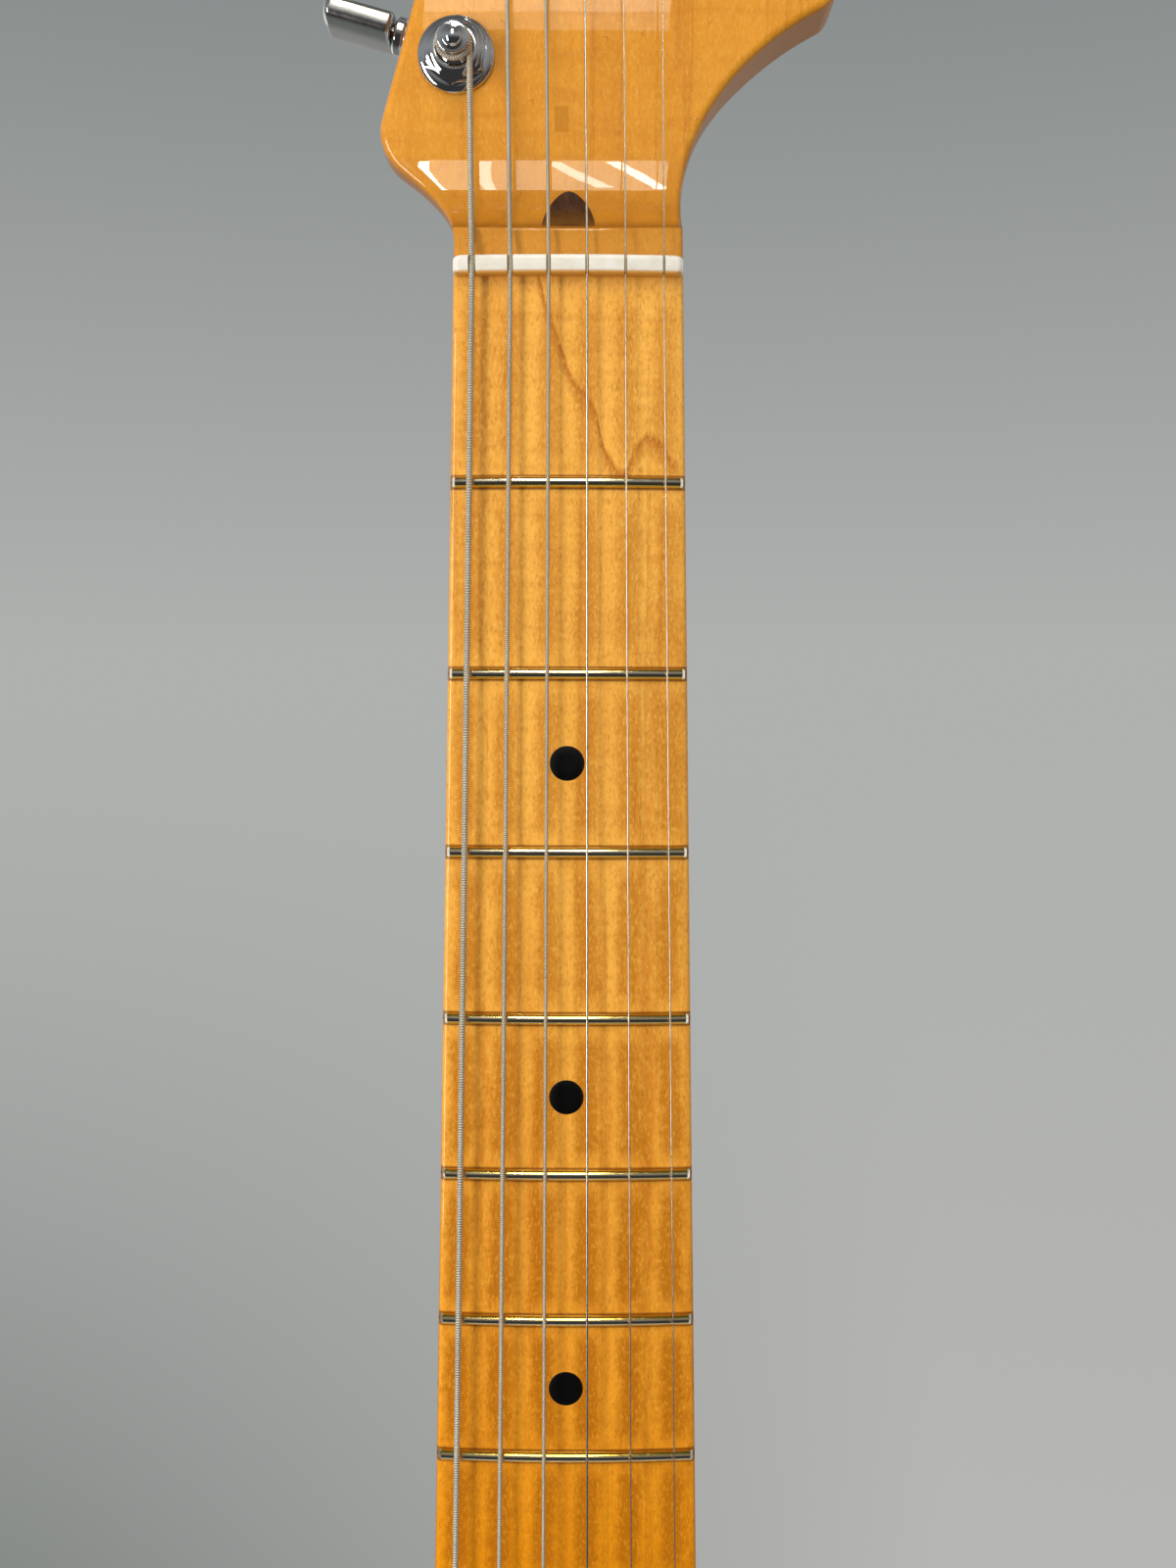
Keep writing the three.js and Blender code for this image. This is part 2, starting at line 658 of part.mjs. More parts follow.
// The plug behind the nut: a round dowel with a flat towards the shelf
function plugPrism(gap) {
  const radius = PLUG_RADIUS + gap;
  const centre = CROWN_Y + PLUG_DEPTH;
  const flatY = CROWN_Y + PLUG_FLAT_DEPTH - gap;
  const half = Math.acos((centre - flatY) / radius);
  const outline = steps(FLANGE_SIDES).map((share) => {
    const angle = mix(half, 2 * Math.PI - half, share);
    return new THREE.Vector2(radius * Math.sin(angle), centre - radius * Math.cos(angle));
  });
  const start = Z_NUT + PLUG_INNER_RISE - gap;
  const shape = new THREE.Shape(outline);
  const depth = COVE_END + OVERRUN - start;
  return new THREE.ExtrudeGeometry(shape, { depth, bevelEnabled: false }).translate(0, 0, start);
}

function tunerHole(tuner) {
  const origin = postPlace(tuner);
  return rod(TUNER_HOLE_DIAMETER / 2, FACE_Y - OVERRUN, OVERRUN, DOT_SIDES, origin, ALONG_Y, ALONG_X);
}

function boltHole(sideways, lengthways) {
  const origin = new THREE.Vector3(
    sideways * BOLT_SPACING_WIDE / 2,
    0,
    lengthways * BOLT_SPACING_LONG / 2,
  );
  return rod(BOLT_HOLE_DIAMETER / 2, -BOLT_HOLE_DEPTH, OVERRUN, SMALL_SIDES, origin, ALONG_Y, ALONG_X);
}

const FRETS = Array.from({ length: FRET_COUNT }, (_, i) => i + 1);
const TUNERS = Array.from({ length: TUNER_COUNT }, (_, i) => i);
const WOOD = solid(shaftBlank()).add(solid(headstockBlank()));

function neck() {
  const cuts = [
    nutSlot(),
    ...FRETS.map(fretSlot),
    ...DOT_PLACES.map((place) => (
      dotDisc(place, DOT_DIAMETER / 2 + WOOD_GAP, -OVERRUN, DOT_DEPTH + WOOD_GAP)
    )),
    ...trussCuts(),
    ...TUNERS.map(tunerHole),
    ...[[-1, -1], [1, -1], [-1, 1], [1, 1]].map(([x, z]) => boltHole(x, z)),
  ];
  return geometryOf(cuts.reduce((wood, cut) => wood.subtract(solid(cut)), WOOD));
}

function skunkStripe() {
  const reach = ROD_DIAMETER / 2 + ROD_CLEARANCE;
  const strip = acrossNeck(channelOutline(reach, WOOD_GAP), CHANNEL_WIDTH - WOOD_GAP * 2);
  return geometryOf(WOOD.intersect(solid(strip)));
}

function headstockPlug() {
  return geometryOf(WOOD.intersect(solid(plugPrism(0))));
}

// Frets, dots and nut

const CROWN_STEPS = 4;

function fret(number) {
  const z = fretZ(number);
  const end = halfWidth(z) - FRET_END_INSET;
  const inner = halfWidth(z) - BOARD_EDGE_ROLL;
  const stations = steps(BOARD_FACETS).map((share) => mix(-inner, inner, share));
  const nextIn = stations[BOARD_FACETS - 1];
  const slope = (boardY(inner) - boardY(nextIn)) / (inner - nextIn);
  const crown = steps(CROWN_STEPS).map((share) => {
    const angle = share * Math.PI;
    return [-FRET_WIDTH / 2 * Math.cos(angle), FRET_HEIGHT * Math.sin(angle)];
  });
  const tang = [
    [TANG_WIDTH / 2, 0], [TANG_WIDTH / 2, -TANG_DEPTH], [-TANG_WIDTH / 2, -TANG_DEPTH], [-TANG_WIDTH / 2, 0],
  ];
  const rings = stations.map((station, i) => {
    const outermost = i === 0 || i === BOARD_FACETS;
    const x = outermost ? Math.sign(station) * end : station;
    const y = outermost ? boardY(inner) + slope * (end - inner) : boardY(station);
    return [...crown, ...tang].map(([across, height]) => {
      const lean = outermost ? Math.sign(station) * FRET_END_BEVEL * Math.max(height, 0) : 0;
      return new THREE.Vector3(x - lean, y - SEAT_GAP - height, z + across);
    });
  });
  return loft(rings);
}

function dot(place) {
  return dotDisc(place, DOT_DIAMETER / 2, 0, DOT_DEPTH);
}

const NUT_TOP_STEPS = 8;
const NUT_CORNER_STEPS = 3;

function nutBlank() {
  const half = halfWidth(Z_NUT) - NUT_END_INSET;
  const bottom = CROWN_Y + NUT_SLOT_DEPTH - WOOD_GAP;
  const round = NUT_END_ROUND;
  const inner = half - round;
  const cornerY = boardY(inner) - NUT_HEIGHT + round;
  const corner = steps(NUT_CORNER_STEPS).map((share) => {
    const angle = share * Math.PI / 2;
    return [inner + round * Math.cos(angle), cornerY - round * Math.sin(angle)];
  });
  const top = steps(NUT_TOP_STEPS).slice(1, -1).map((share) => {
    const x = mix(inner, -inner, share);
    return [x, boardY(x) - NUT_HEIGHT];
  });
  const mirrored = corner.map(([x, y]) => [-x, y]).reverse();
  const points = [[-half, bottom], [half, bottom], ...corner, ...top, ...mirrored];
  const shape = new THREE.Shape(points.map(([x, y]) => new THREE.Vector2(x, y)));
  const blank = new THREE.ExtrudeGeometry(shape, {
    depth: NUT_THICKNESS - (NUT_EDGE_ROUND + WOOD_GAP) * 2,
    bevelThickness: NUT_EDGE_ROUND,
    bevelSize: NUT_EDGE_ROUND,
    bevelOffset: -NUT_EDGE_ROUND,
    bevelSegments: 2,
  });
  return blank.translate(0, 0, Z_NUT + WOOD_GAP + NUT_EDGE_ROUND);
}

// Strings: their places over the board and at the posts

function stringX(string, z) {
  const spread = mix(STRING_SPREAD_AT_NUT, STRING_SPREAD_AT_SADDLES, (Z_NUT - z) / SCALE_LENGTH);
  return spread * (string / (TUNER_COUNT - 1) - 1 / 2);
}

// A string's axis over the board is a straight line from the nut, set by the action at fret 12
function stringPoint(string, z) {
  const radius = STRING_DIAMETERS[string] / 2;
  const atNut = boardY(stringX(string, Z_NUT)) - FRET_HEIGHT - FIRST_FRET_CLEARANCE - radius;
  const z12 = fretZ(OCTAVE_FRETS);
  const at12 = boardY(stringX(string, z12)) - FRET_HEIGHT - ACTION_AT_FRET_12 - radius;
  const share = (Z_NUT - z) / (Z_NUT - z12);
  return new THREE.Vector3(stringX(string, z), mix(atNut, at12, share), z);
}

function wrapRadius(string) {
  return POST_WAIST_DIAMETER / 2 + WRAP_TO_POST + STRING_DIAMETERS[string] / 2;
}

// The angle round the post at which the string from the nut touches its first wrap
function wrapStart(string) {
  const post = postPlace(string);
  const from = stringPoint(string, Z_NUT);
  const reach = Math.hypot(from.x - post.x, from.z - post.z);
  return Math.atan2(from.z - post.z, from.x - post.x) + Math.acos(wrapRadius(string) / reach);
}

function wrapPoint(string, turns) {
  const post = postPlace(string);
  const angle = wrapStart(string) + turns * 2 * Math.PI;
  const height = FIRST_WRAP_HEIGHT + turns * (STRING_DIAMETERS[string] + WRAP_SPACING);
  return new THREE.Vector3(
    post.x + wrapRadius(string) * Math.cos(angle),
    FACE_Y - height,
    post.z + wrapRadius(string) * Math.sin(angle),
  );
}

function stringPath(string) {
  const turns = WRAP_TURNS_COUNTS[string];
  const wraps = steps(turns * LOOP_STEPS).map((share) => wrapPoint(string, share * turns));
  const last = wraps[wraps.length - 1];
  const heading = last.clone().sub(wraps[wraps.length - 2]).normalize();
  const tail = last.clone().addScaledVector(heading, STRING_DIAMETERS[string]);
  return [
    stringPoint(string, HEEL_END - BALL_PAST_HEEL),
    stringPoint(string, fretZ(OCTAVE_FRETS)),
    stringPoint(string, Z_NUT),
    ...wraps,
    tail,
  ];
}

// The least gap between turns of a winding, measured on its points
function leastGap(string) {
  const points = stringPath(string);
  let least = Infinity;
  points.forEach((point, i) => {
    for (let j = i + LOOP_STEPS / 2; j < points.length; j += 1) {
      least = Math.min(least, point.distanceTo(points[j]));
    }
  });
  return least - STRING_DIAMETERS[string];
}

// One unbroken tube through points, its rings square to the path
function tube(points, radius, sides) {
  let aside = ALONG_X.clone();
  const rings = points.map((point, i) => {
    const before = points[Math.max(i - 1, 0)];
    const after = points[Math.min(i + 1, points.length - 1)];
    const heading = after.clone().sub(before).normalize();
    aside = aside.addScaledVector(heading, -aside.dot(heading)).normalize();
    const up = new THREE.Vector3().crossVectors(heading, aside);
    const axis = aside.clone();
    return Array.from({ length: sides }, (_, k) => {
      const angle = k / sides * 2 * Math.PI;
      return point.clone().addScaledVector(axis, radius * Math.cos(angle))
        .addScaledVector(up, radius * Math.sin(angle));
    });
  });
  return loft(rings);
}

function guitarString(string) {
  const wire = solid(tube(stringPath(string), STRING_DIAMETERS[string] / 2, STRING_SIDES));
  const end = stringPoint(string, HEEL_END - BALL_PAST_HEEL);
  const half = BALL_WIDTH / 2;
  const ball = rod(BALL_DIAMETER / 2, -half, half, SMALL_SIDES, end, ALONG_X, ALONG_Y);
  return geometryOf(wire.add(solid(ball)));
}

const GROOVE_STEPS = 6;

// A groove in the nut, round at the bottom and open at the top, that falls towards the post
function stringGroove(string) {
  const from = stringPoint(string, Z_NUT);
  const heading = wrapPoint(string, 0).sub(from).normalize();
  const aside = new THREE.Vector3().crossVectors(ALONG_Y, heading).normalize();
  const down = new THREE.Vector3().crossVectors(heading, aside);
  const radius = STRING_DIAMETERS[string] / 2 + SLOT_CLEARANCE;
  const bottom = steps(GROOVE_STEPS).map((share) => {
    const angle = share * Math.PI;
    return new THREE.Vector2(radius * Math.cos(angle), radius * Math.sin(angle));
  });
  const top = -NUT_HEIGHT - OVERRUN;
  const outline = [new THREE.Vector2(radius, top), ...bottom, new THREE.Vector2(-radius, top)];
  const depth = NUT_THICKNESS + OVERRUN * 2;
  const groove = new THREE.ExtrudeGeometry(new THREE.Shape(outline), { depth, bevelEnabled: false });
  return placed(groove, from.addScaledVector(heading, -OVERRUN), aside, down, heading);
}

function nut() {
  const grooves = TUNERS.map((string) => solid(stringGroove(string)));
  return geometryOf(grooves.reduce((bone, groove) => bone.subtract(groove), solid(nutBlank())));
}

// Tuners

function alongEdge(tuner, outward, tipward, y) {
  return postPlace(tuner).addScaledVector(OUTWARD, outward).addScaledVector(TIPWARD, tipward).setY(y);
}

// A lathe round the post's axis, with heights above the face of the headstock
function roundPost(profile, sides, tuner, turn = 0) {
  const heights = profile.map(([radius, height]) => [radius, FACE_Y - height]);
  return revolved(heights, sides, postPlace(tuner), ALONG_Y, ALONG_X, turn);
}

// A lathe round the worm's axis, with distances outward from the post
function roundWorm(profile, sides, tuner) {
  return revolved(profile, sides, alongEdge(tuner, 0, WORM_OFFSET, WORM_HEIGHT), OUTWARD, ALONG_Y);
}

function housingBody(tuner) {
  const outer = EDGE_TO_POST - HOUSING_TO_EDGE_OF_HEAD;
  const shape = new THREE.Shape();
  const [left, right, low, high] = [-HOUSING_INWARD, outer, -HOUSING_NUTWARD, HOUSING_TIPWARD];
  const corner = HOUSING_CORNER;
  shape.moveTo(left + corner, low);
  shape.lineTo(right - corner, low);
  shape.quadraticCurveTo(right, low, right, low + corner);
  shape.lineTo(right, high - corner);
  shape.quadraticCurveTo(right, high, right - corner, high);
  shape.lineTo(left + corner, high);
  shape.quadraticCurveTo(left, high, left, high - corner);
  shape.lineTo(left, low + corner);
  shape.quadraticCurveTo(left, low, left + corner, low);
  const extruded = new THREE.ExtrudeGeometry(shape, {
    depth: HOUSING_HEIGHT - HOUSING_EDGE * 2 - HARDWARE_GAP,
    bevelThickness: HOUSING_EDGE,
    bevelSize: HOUSING_EDGE,
    bevelOffset: -HOUSING_EDGE,
    bevelSegments: 1,
    curveSegments: 3,
  });
  const base = postPlace(tuner).setY(HARDWARE_GAP + HOUSING_EDGE);
  return placed(extruded, base, OUTWARD, TIPWARD, ALONG_Y);
}

function tunerHousing(tuner) {
  const flange = FLANGE_DIAMETER / 2;
  const flangeTop = HARDWARE_GAP + FLANGE_THICKNESS;
  const hex = HEX_ACROSS_CORNERS / 2;
  const hexTop = flangeTop + HEX_HEIGHT;
  const bossStart = EDGE_TO_POST - HOUSING_TO_EDGE_OF_HEAD - HOUSING_CORNER;
  const collar = COLLAR_DIAMETER / 2;
  const pieces = [
    roundPost([
      [0, HARDWARE_GAP], [flange, HARDWARE_GAP], [flange, flangeTop - FLANGE_EDGE],
      [flange - FLANGE_EDGE * 2, flangeTop], [0, flangeTop],
    ], FLANGE_SIDES, tuner),
    roundPost([
      [0, HARDWARE_GAP], [hex, HARDWARE_GAP], [hex, hexTop - HEX_CHAMFER], [hex - HEX_CHAMFER, hexTop],
      [0, hexTop],
    ], HEX_SIDES, tuner, radians(HEX_TURN)),
    roundPost([
      [0, -HEADSTOCK_THICKNESS - HOUSING_EDGE], [BARREL_DIAMETER / 2, -HEADSTOCK_THICKNESS - HOUSING_EDGE],
      [BARREL_DIAMETER / 2, flangeTop], [0, flangeTop],
    ], SMALL_SIDES, tuner),
    housingBody(tuner),
    roundWorm([
      [0, bossStart], [BOSS_DIAMETER / 2, bossStart], [BOSS_DIAMETER / 2, BOSS_REACH],
      [collar, BOSS_REACH], [collar, BOSS_REACH + COLLAR_LENGTH], [0, BOSS_REACH + COLLAR_LENGTH],
    ], SMALL_SIDES, tuner),
  ];
  const bores = [
    roundPost([
      [0, -HEADSTOCK_THICKNESS - WORM_HEIGHT], [POST_BORE_DIAMETER / 2, -HEADSTOCK_THICKNESS - WORM_HEIGHT],
      [POST_BORE_DIAMETER / 2, hexTop + OVERRUN], [0, hexTop + OVERRUN],
    ], SMALL_SIDES, tuner),
    roundWorm([
      [0, buttonStart() - SHAFT_DEPTH - SHAFT_END_GAP],
      [SHAFT_BORE_DIAMETER / 2, buttonStart() - SHAFT_DEPTH - SHAFT_END_GAP],
      [SHAFT_BORE_DIAMETER / 2, buttonStart() + OVERRUN], [0, buttonStart() + OVERRUN],
    ], SMALL_SIDES, tuner),
  ];
  const whole = pieces.map(solid).reduce((sum, piece) => sum.add(piece));
  return geometryOf(bores.map(solid).reduce((body, bore) => body.subtract(bore), whole));
}

// The post's hollow under its waist and its domed tip, as shares of radius and of height
const POST_HOLLOW_SHARES = [0.6, 0.4];
const POST_DOME_SHARES = [0.4, 0.9];

function tunerPost(tuner) {
  const stem = POST_STEM_DIAMETER / 2;
  const waist = POST_WAIST_DIAMETER / 2;
  const rim = POST_RIM_DIAMETER / 2;
  const tip = POST_TIP_DIAMETER / 2;
  const bottom = POST_BORE_FLOOR - HEADSTOCK_THICKNESS - WORM_HEIGHT;
  const rimStep = (POST_RIM_HEIGHT - POST_WAIST_END) / 2;
  const [hollow, hollowRise] = POST_HOLLOW_SHARES;
  const [dome, domeRise] = POST_DOME_SHARES;
  return geometryOf(solid(roundPost([
    [0, bottom],
    [stem, bottom],
    [stem, POST_SHOULDER_HEIGHT],
    [mix(stem, waist, hollow), mix(POST_SHOULDER_HEIGHT, POST_WAIST_START, hollowRise)],
    [waist, POST_WAIST_START],
    [waist, POST_WAIST_END],
    [rim, POST_WAIST_END + rimStep],
    [rim, POST_RIM_HEIGHT],
    [tip, POST_RIM_HEIGHT],
    [tip, (POST_RIM_HEIGHT + POST_TIP_HEIGHT) / 2],
    [mix(tip, 0, dome), mix(POST_RIM_HEIGHT, POST_TIP_HEIGHT, domeRise)],
    [0, POST_TIP_HEIGHT],
  ], SMALL_SIDES, tuner)));
}

function buttonStart() {
  return BOSS_REACH + COLLAR_LENGTH + BUTTON_GAP;
}

const BUTTON_SIDES = 16;
const BUTTON_ROUND_SHARE = 0.4;

// A flattened oval round the worm's axis: half its thickness and breadth
function buttonOutline(thick, broad, fullness) {
  const power = 2 / fullness;
  return Array.from({ length: BUTTON_SIDES }, (_, i) => {
    const angle = i / BUTTON_SIDES * 2 * Math.PI;
    const [c, s] = [Math.cos(angle), Math.sin(angle)];
    return [thick * Math.sign(c) * Math.abs(c) ** power, broad * Math.sign(s) * Math.abs(s) ** power];
  });
}

function tunerButton(tuner) {
  const start = buttonStart();
  const end = start + BUTTON_LENGTH;
  const shaft = SHAFT_DIAMETER / 2;
  const [thick, broad] = [BUTTON_THICKNESS / 2, BUTTON_BREADTH / 2];
  const oval = (inset) => buttonOutline(thick - inset, broad - inset, BUTTON_FULLNESS);
  const round = buttonOutline(shaft, shaft, ROUND_FULLNESS);
  const sections = [
    [start - SHAFT_DEPTH, round],
    [start, round],
    [start, oval(BUTTON_EDGE)],
    [start + BUTTON_EDGE * BUTTON_ROUND_SHARE, oval(BUTTON_EDGE * BUTTON_ROUND_SHARE)],
    [start + BUTTON_EDGE, oval(0)],
    [end - BUTTON_EDGE, oval(0)],
    [end - BUTTON_EDGE * BUTTON_ROUND_SHARE, oval(BUTTON_EDGE * BUTTON_ROUND_SHARE)],
    [end, oval(BUTTON_EDGE)],
  ];
  return loft(sections.map(([outward, outline]) => outline.map(([tipward, y]) => (
    alongEdge(tuner, outward, WORM_OFFSET + tipward, WORM_HEIGHT + y)
  ))));
}

// Truss rod

function trussRod() {
  const inner = HEEL_END + TRUSS_NUT_INSET + TRUSS_NUT_LENGTH - TRUSS_NUT_BORE_DEPTH + ROD_CLEARANCE * 2;
  const anchorStart = Z_NUT - ANCHOR_BELOW_NUT;
  const bow = steps(BOW_STEPS).map((share) => mix(CHANNEL_START, CHANNEL_END, share));
  const places = [inner, ...bow, anchorStart + ANCHOR_LENGTH / 2];
  const path = places.map((z) => new THREE.Vector3(0, ROD_Y + rodBow(z), z));
  const bar = solid(tube(path, ROD_DIAMETER / 2, SMALL_SIDES));
  const anchor = boreAlong(ANCHOR_DIAMETER, ROD_Y, anchorStart, anchorStart + ANCHOR_LENGTH);
  return geometryOf(bar.add(solid(anchor)));
}

function trussNut() {
  const start = HEEL_END + TRUSS_NUT_INSET;
  const end = start + TRUSS_NUT_LENGTH;
  const barrel = solid(boreAlong(TRUSS_NUT_DIAMETER, ROD_Y, start, end, DOT_SIDES));
  const bore = boreAlong(ROD_DIAMETER + ROD_CLEARANCE * 2, ROD_Y, end - TRUSS_NUT_BORE_DEPTH, end + OVERRUN);
  const half = CROSS_SLOT_WIDTH / 2;
  const long = CROSS_SLOT_LENGTH / 2;
  const slotDepth = [start - OVERRUN, start + CROSS_SLOT_DEPTH];
  const across = block([-long, long], [ROD_Y - half, ROD_Y + half], slotDepth);
  const upright = block([-half, half], [ROD_Y - long, ROD_Y + long], slotDepth);
  return geometryOf([bore, across, upright].reduce((body, cut) => body.subtract(solid(cut)), barrel));
}

// Materials

function material(color, roughness, metalness) {
  return new THREE.MeshStandardMaterial({ color, roughness, metalness });
}

const MAPLE = material(0xe2a450, 0.18, 0);
const WALNUT = material(0x4a2b18, 0.35, 0);
const BONE = material(0xf0ebde, 0.35, 0);
const INLAY = material(0x0d0c0c, 0.25, 0);
const NICKEL = material(0xcfc9bc, 0.25, 1);
const CHROME = material(0xd9dcdf, 0.08, 1);
const SATIN = material(0xaaa9a6, 0.35, 1);
const STEEL = material(0xb4b3b0, 0.3, 1);

// The whole neck

const guitarNeck = new THREE.Group();

function add(name, geometry, look) {
  const mesh = new THREE.Mesh(geometry, look);
  mesh.name = name;
  guitarNeck.add(mesh);
}

add('neck', neck(), MAPLE);
add('skunk_stripe', skunkStripe(), WALNUT);
add('headstock_plug', headstockPlug(), WALNUT);
add('nut', nut(), BONE);
FRETS.forEach((number) => add(`fret_${String(number).padStart(2, '0')}`, fret(number), NICKEL));
DOT_PLACES.forEach((place) => add(place.name, dot(place), INLAY));
add('truss_rod', trussRod(), STEEL);
add('truss_nut', trussNut(), STEEL);
TUNERS.forEach((tuner) => {
  const number = TUNER_COUNT - tuner;
  add(`tuner_housing_${number}`, tunerHousing(tuner), CHROME);
  add(`tuner_post_${number}`, tunerPost(tuner), CHROME);
  add(`tuner_button_${number}`, tunerButton(tuner), SATIN);
  add(`string_${number}`, guitarString(tuner), STEEL);
  console.log(`string_${number} least gap between its turns ${leastGap(tuner).toFixed(3)} mm`);
});

export default guitarNeck;
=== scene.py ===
"""Looks of the electric guitar neck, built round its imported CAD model.

Sizes are in millimetres and become metres in new_object(). The frame is the CAD model's own: +Z runs
along the neck to the headstock, the fingerboard faces -Y and the bass side is -X.
"""

import math

import bmesh
import bpy
from mathutils import Matrix, Vector


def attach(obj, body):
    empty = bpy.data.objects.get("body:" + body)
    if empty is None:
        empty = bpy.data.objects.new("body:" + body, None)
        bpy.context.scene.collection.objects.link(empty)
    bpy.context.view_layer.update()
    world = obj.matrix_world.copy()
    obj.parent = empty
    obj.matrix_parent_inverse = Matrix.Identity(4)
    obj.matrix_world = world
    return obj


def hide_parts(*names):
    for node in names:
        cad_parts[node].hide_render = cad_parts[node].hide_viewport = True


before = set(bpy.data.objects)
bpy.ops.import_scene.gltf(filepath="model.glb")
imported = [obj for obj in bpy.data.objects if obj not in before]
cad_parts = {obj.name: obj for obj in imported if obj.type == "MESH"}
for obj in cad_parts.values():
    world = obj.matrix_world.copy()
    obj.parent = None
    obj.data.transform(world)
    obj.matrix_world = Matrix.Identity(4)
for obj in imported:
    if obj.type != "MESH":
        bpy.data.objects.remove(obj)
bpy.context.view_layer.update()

MM = 0.001
TURN = 2 * math.pi
QUARTER = math.pi / 2

# Neck
SCALE_LENGTH = 648.0
OCTAVE_FRETS = 12
FRET_COUNT = 21
NUT_WIDTH = 41.3
HEEL_WIDTH = 56.0
HEEL_THICKNESS = 25.4
BOARD_RADIUS = 241.0
HEEL_END = -38.1
PAD_END = HEEL_END + 76.0
BOARD_OVERHANG = 8.1
HEEL_SWEEP = 32.0
HEEL_CORNER = 2.0
THICKNESS_AT_FRET_1 = 20.5
THICKNESS_AT_FRET_12 = 22.5
SIDE_DEPTH = 2.6
SPINE_FLAT = 1.6
BOARD_EDGE_ROLL = 1.0
SHAFT_FULLNESS = 2.3
ROUND_FULLNESS = 2.0
EDGE_BREAK = 0.35
BOLT_HOLE_RADIUS = 1.65
BOLT_HOLE_DEPTH = 16.0
BOLT_HOLE_POINT = 1.2
BOLT_PLACES = [(x * 19.05, z * 25.4) for x in (-1, 1) for z in (-1, 1)]
CUT_OVERRUN = 1.0

# Headstock
HEADSTOCK_THICKNESS = 14.3
HEADSTOCK_EDGE_ROUND = 1.6
HEADSTOCK_ANGLE = math.radians(15.6)
SHELF_LENGTH = 8.5
COVE_RADIUS = 17.5
BACK_SWEEP_BELOW_NUT = 10.0
BACK_SWEEP_ABOVE_NUT = 22.0
FLANK_INSET = 5.0
FLANK_DEPTH = 11.5
FLANK_RISE = 20.0
BASS_FLANK_RUN = 11.6
TREBLE_FLANK_RUN = 25.0
BASS_FLARE_RISE = 6.0
BASS_CORNER_RISE = 31.6
TREBLE_FLARE_RISE = 13.0
TREBLE_CORNER_RISE = 57.3
TREBLE_REACH = 49.6
TIP_PAST_LAST_POST = 18.8
TIP_TO_TREBLE_OF_LAST_POST = 3.6
BASS_TIP_ROUND = 12.0
BASS_FLARE_SHARES = [
    [(0, 0.234), (0.278, 0.414), (0.63, 0.57)],
    [(0.68, 0.592), (0.72, 0.613), (0.771, 0.635)],
    [(1.011, 0.746), (1.051, 0.898), (1, 1)],
]
TREBLE_FLARE_SHARES = [
    [(0, 0.451), (0.478, 0.729), (0.904, 0.876)],
    [(0.971, 0.898), (1, 0.946), (1, 1)],
]
TREBLE_SIDE_SHARES = [
    [(0, 0.116), (0.494, 0.274), (0.586, 0.495)],
    [(0.647, 0.645), (0.625, 0.75), (0.644, 0.85)],
    [(0.663, 0.953), (0.816, 1), (1, 1)],
]
BASS_TIP_SHARES = [[(0.19, 0.72), (0.6, 1), (1, 1)]]

# Tuner places and string spread
TUNER_COUNT = 6
TUNER_PITCH = 25.4
FIRST_POST_RISE = 42.9
FIRST_POST_TO_BASS = 20.8
EDGE_TO_POST = 10.4
SPREAD_AT_NUT = 34.1
SPREAD_AT_SADDLES = 52.0

# Places that follow
CROWN_Y = -HEEL_THICKNESS
FACE_Y = -HEADSTOCK_THICKNESS
Z_NUT = HEEL_END + BOARD_OVERHANG + SCALE_LENGTH * (1 - 2 ** (-FRET_COUNT / OCTAVE_FRETS))
LIP_Z = Z_NUT + SHELF_LENGTH
LIP_ANGLE = math.acos(1 - (FACE_Y - CROWN_Y) / COVE_RADIUS)
COVE_END = LIP_Z + COVE_RADIUS * math.sin(LIP_ANGLE)
JOIN_Z = Z_NUT + BASS_CORNER_RISE
HEAD_COS = math.cos(HEADSTOCK_ANGLE)
HEAD_SIN = math.sin(HEADSTOCK_ANGLE)
ALONG_X = Vector((1, 0, 0))
ALONG_Y = Vector((0, 1, 0))
ALONG_Z = Vector((0, 0, 1))
OUTWARD = Vector((-HEAD_COS, 0, HEAD_SIN))
TIPWARD = Vector((HEAD_SIN, 0, HEAD_COS))

# How far an inlaid piece stands over the wood round it, how far skins of one piece reach into each other,
# and the smallest edge that catches light
PROUD = 0.02
OVERLAP = 0.3
SMALL_EDGE = 0.1

# Steps of the curves
OUTLINE_STEPS = 24
FRONT_STEPS = 28
ROUND_STEPS = 6
BACK_STEPS = 22


def mix(a, b, share):
    return a + (b - a) * share


def shares(count):
    """Steps from 0 to 1, both ends included."""
    return [i / count for i in range(count + 1)]


def arc(count, reach=QUARTER):
    """Sine and cosine at each step of a quarter turn, or of another reach."""
    return [(math.sin(share * reach), math.cos(share * reach)) for share in shares(count)]


def circle(count):
    """Cosine and sine at each step of a whole turn."""
    return [(math.cos(i / count * TURN), math.sin(i / count * TURN)) for i in range(count)]


def smooth(value, start, end):
    share = min(max((value - start) / (end - start), 0), 1)
    return share * share * (3 - 2 * share)


def fret_z(fret):
    return Z_NUT - SCALE_LENGTH * (1 - 2 ** (-fret / OCTAVE_FRETS))


def string_step(z):
    """The strings' distance from one another at a height."""
    return mix(SPREAD_AT_NUT, SPREAD_AT_SADDLES, (Z_NUT - z) / SCALE_LENGTH) / (TUNER_COUNT - 1)


def string_x(string, z):
    return string_step(z) * (string - (TUNER_COUNT - 1) / 2)


# Objects and meshes

def linked(name, data):
    """A new object in the scene."""
    made = bpy.data.objects.new(name, data)
    bpy.context.scene.collection.objects.link(made)
    return made


def new_object(name, points, faces, material=None):
    """A mesh object from points in millimetres."""
    mesh = bpy.data.meshes.new(name)
    mesh.from_pydata([tuple(Vector(point) * MM) for point in points], [], faces)
    if material:
        mesh.materials.append(material)
    return linked(name, mesh)


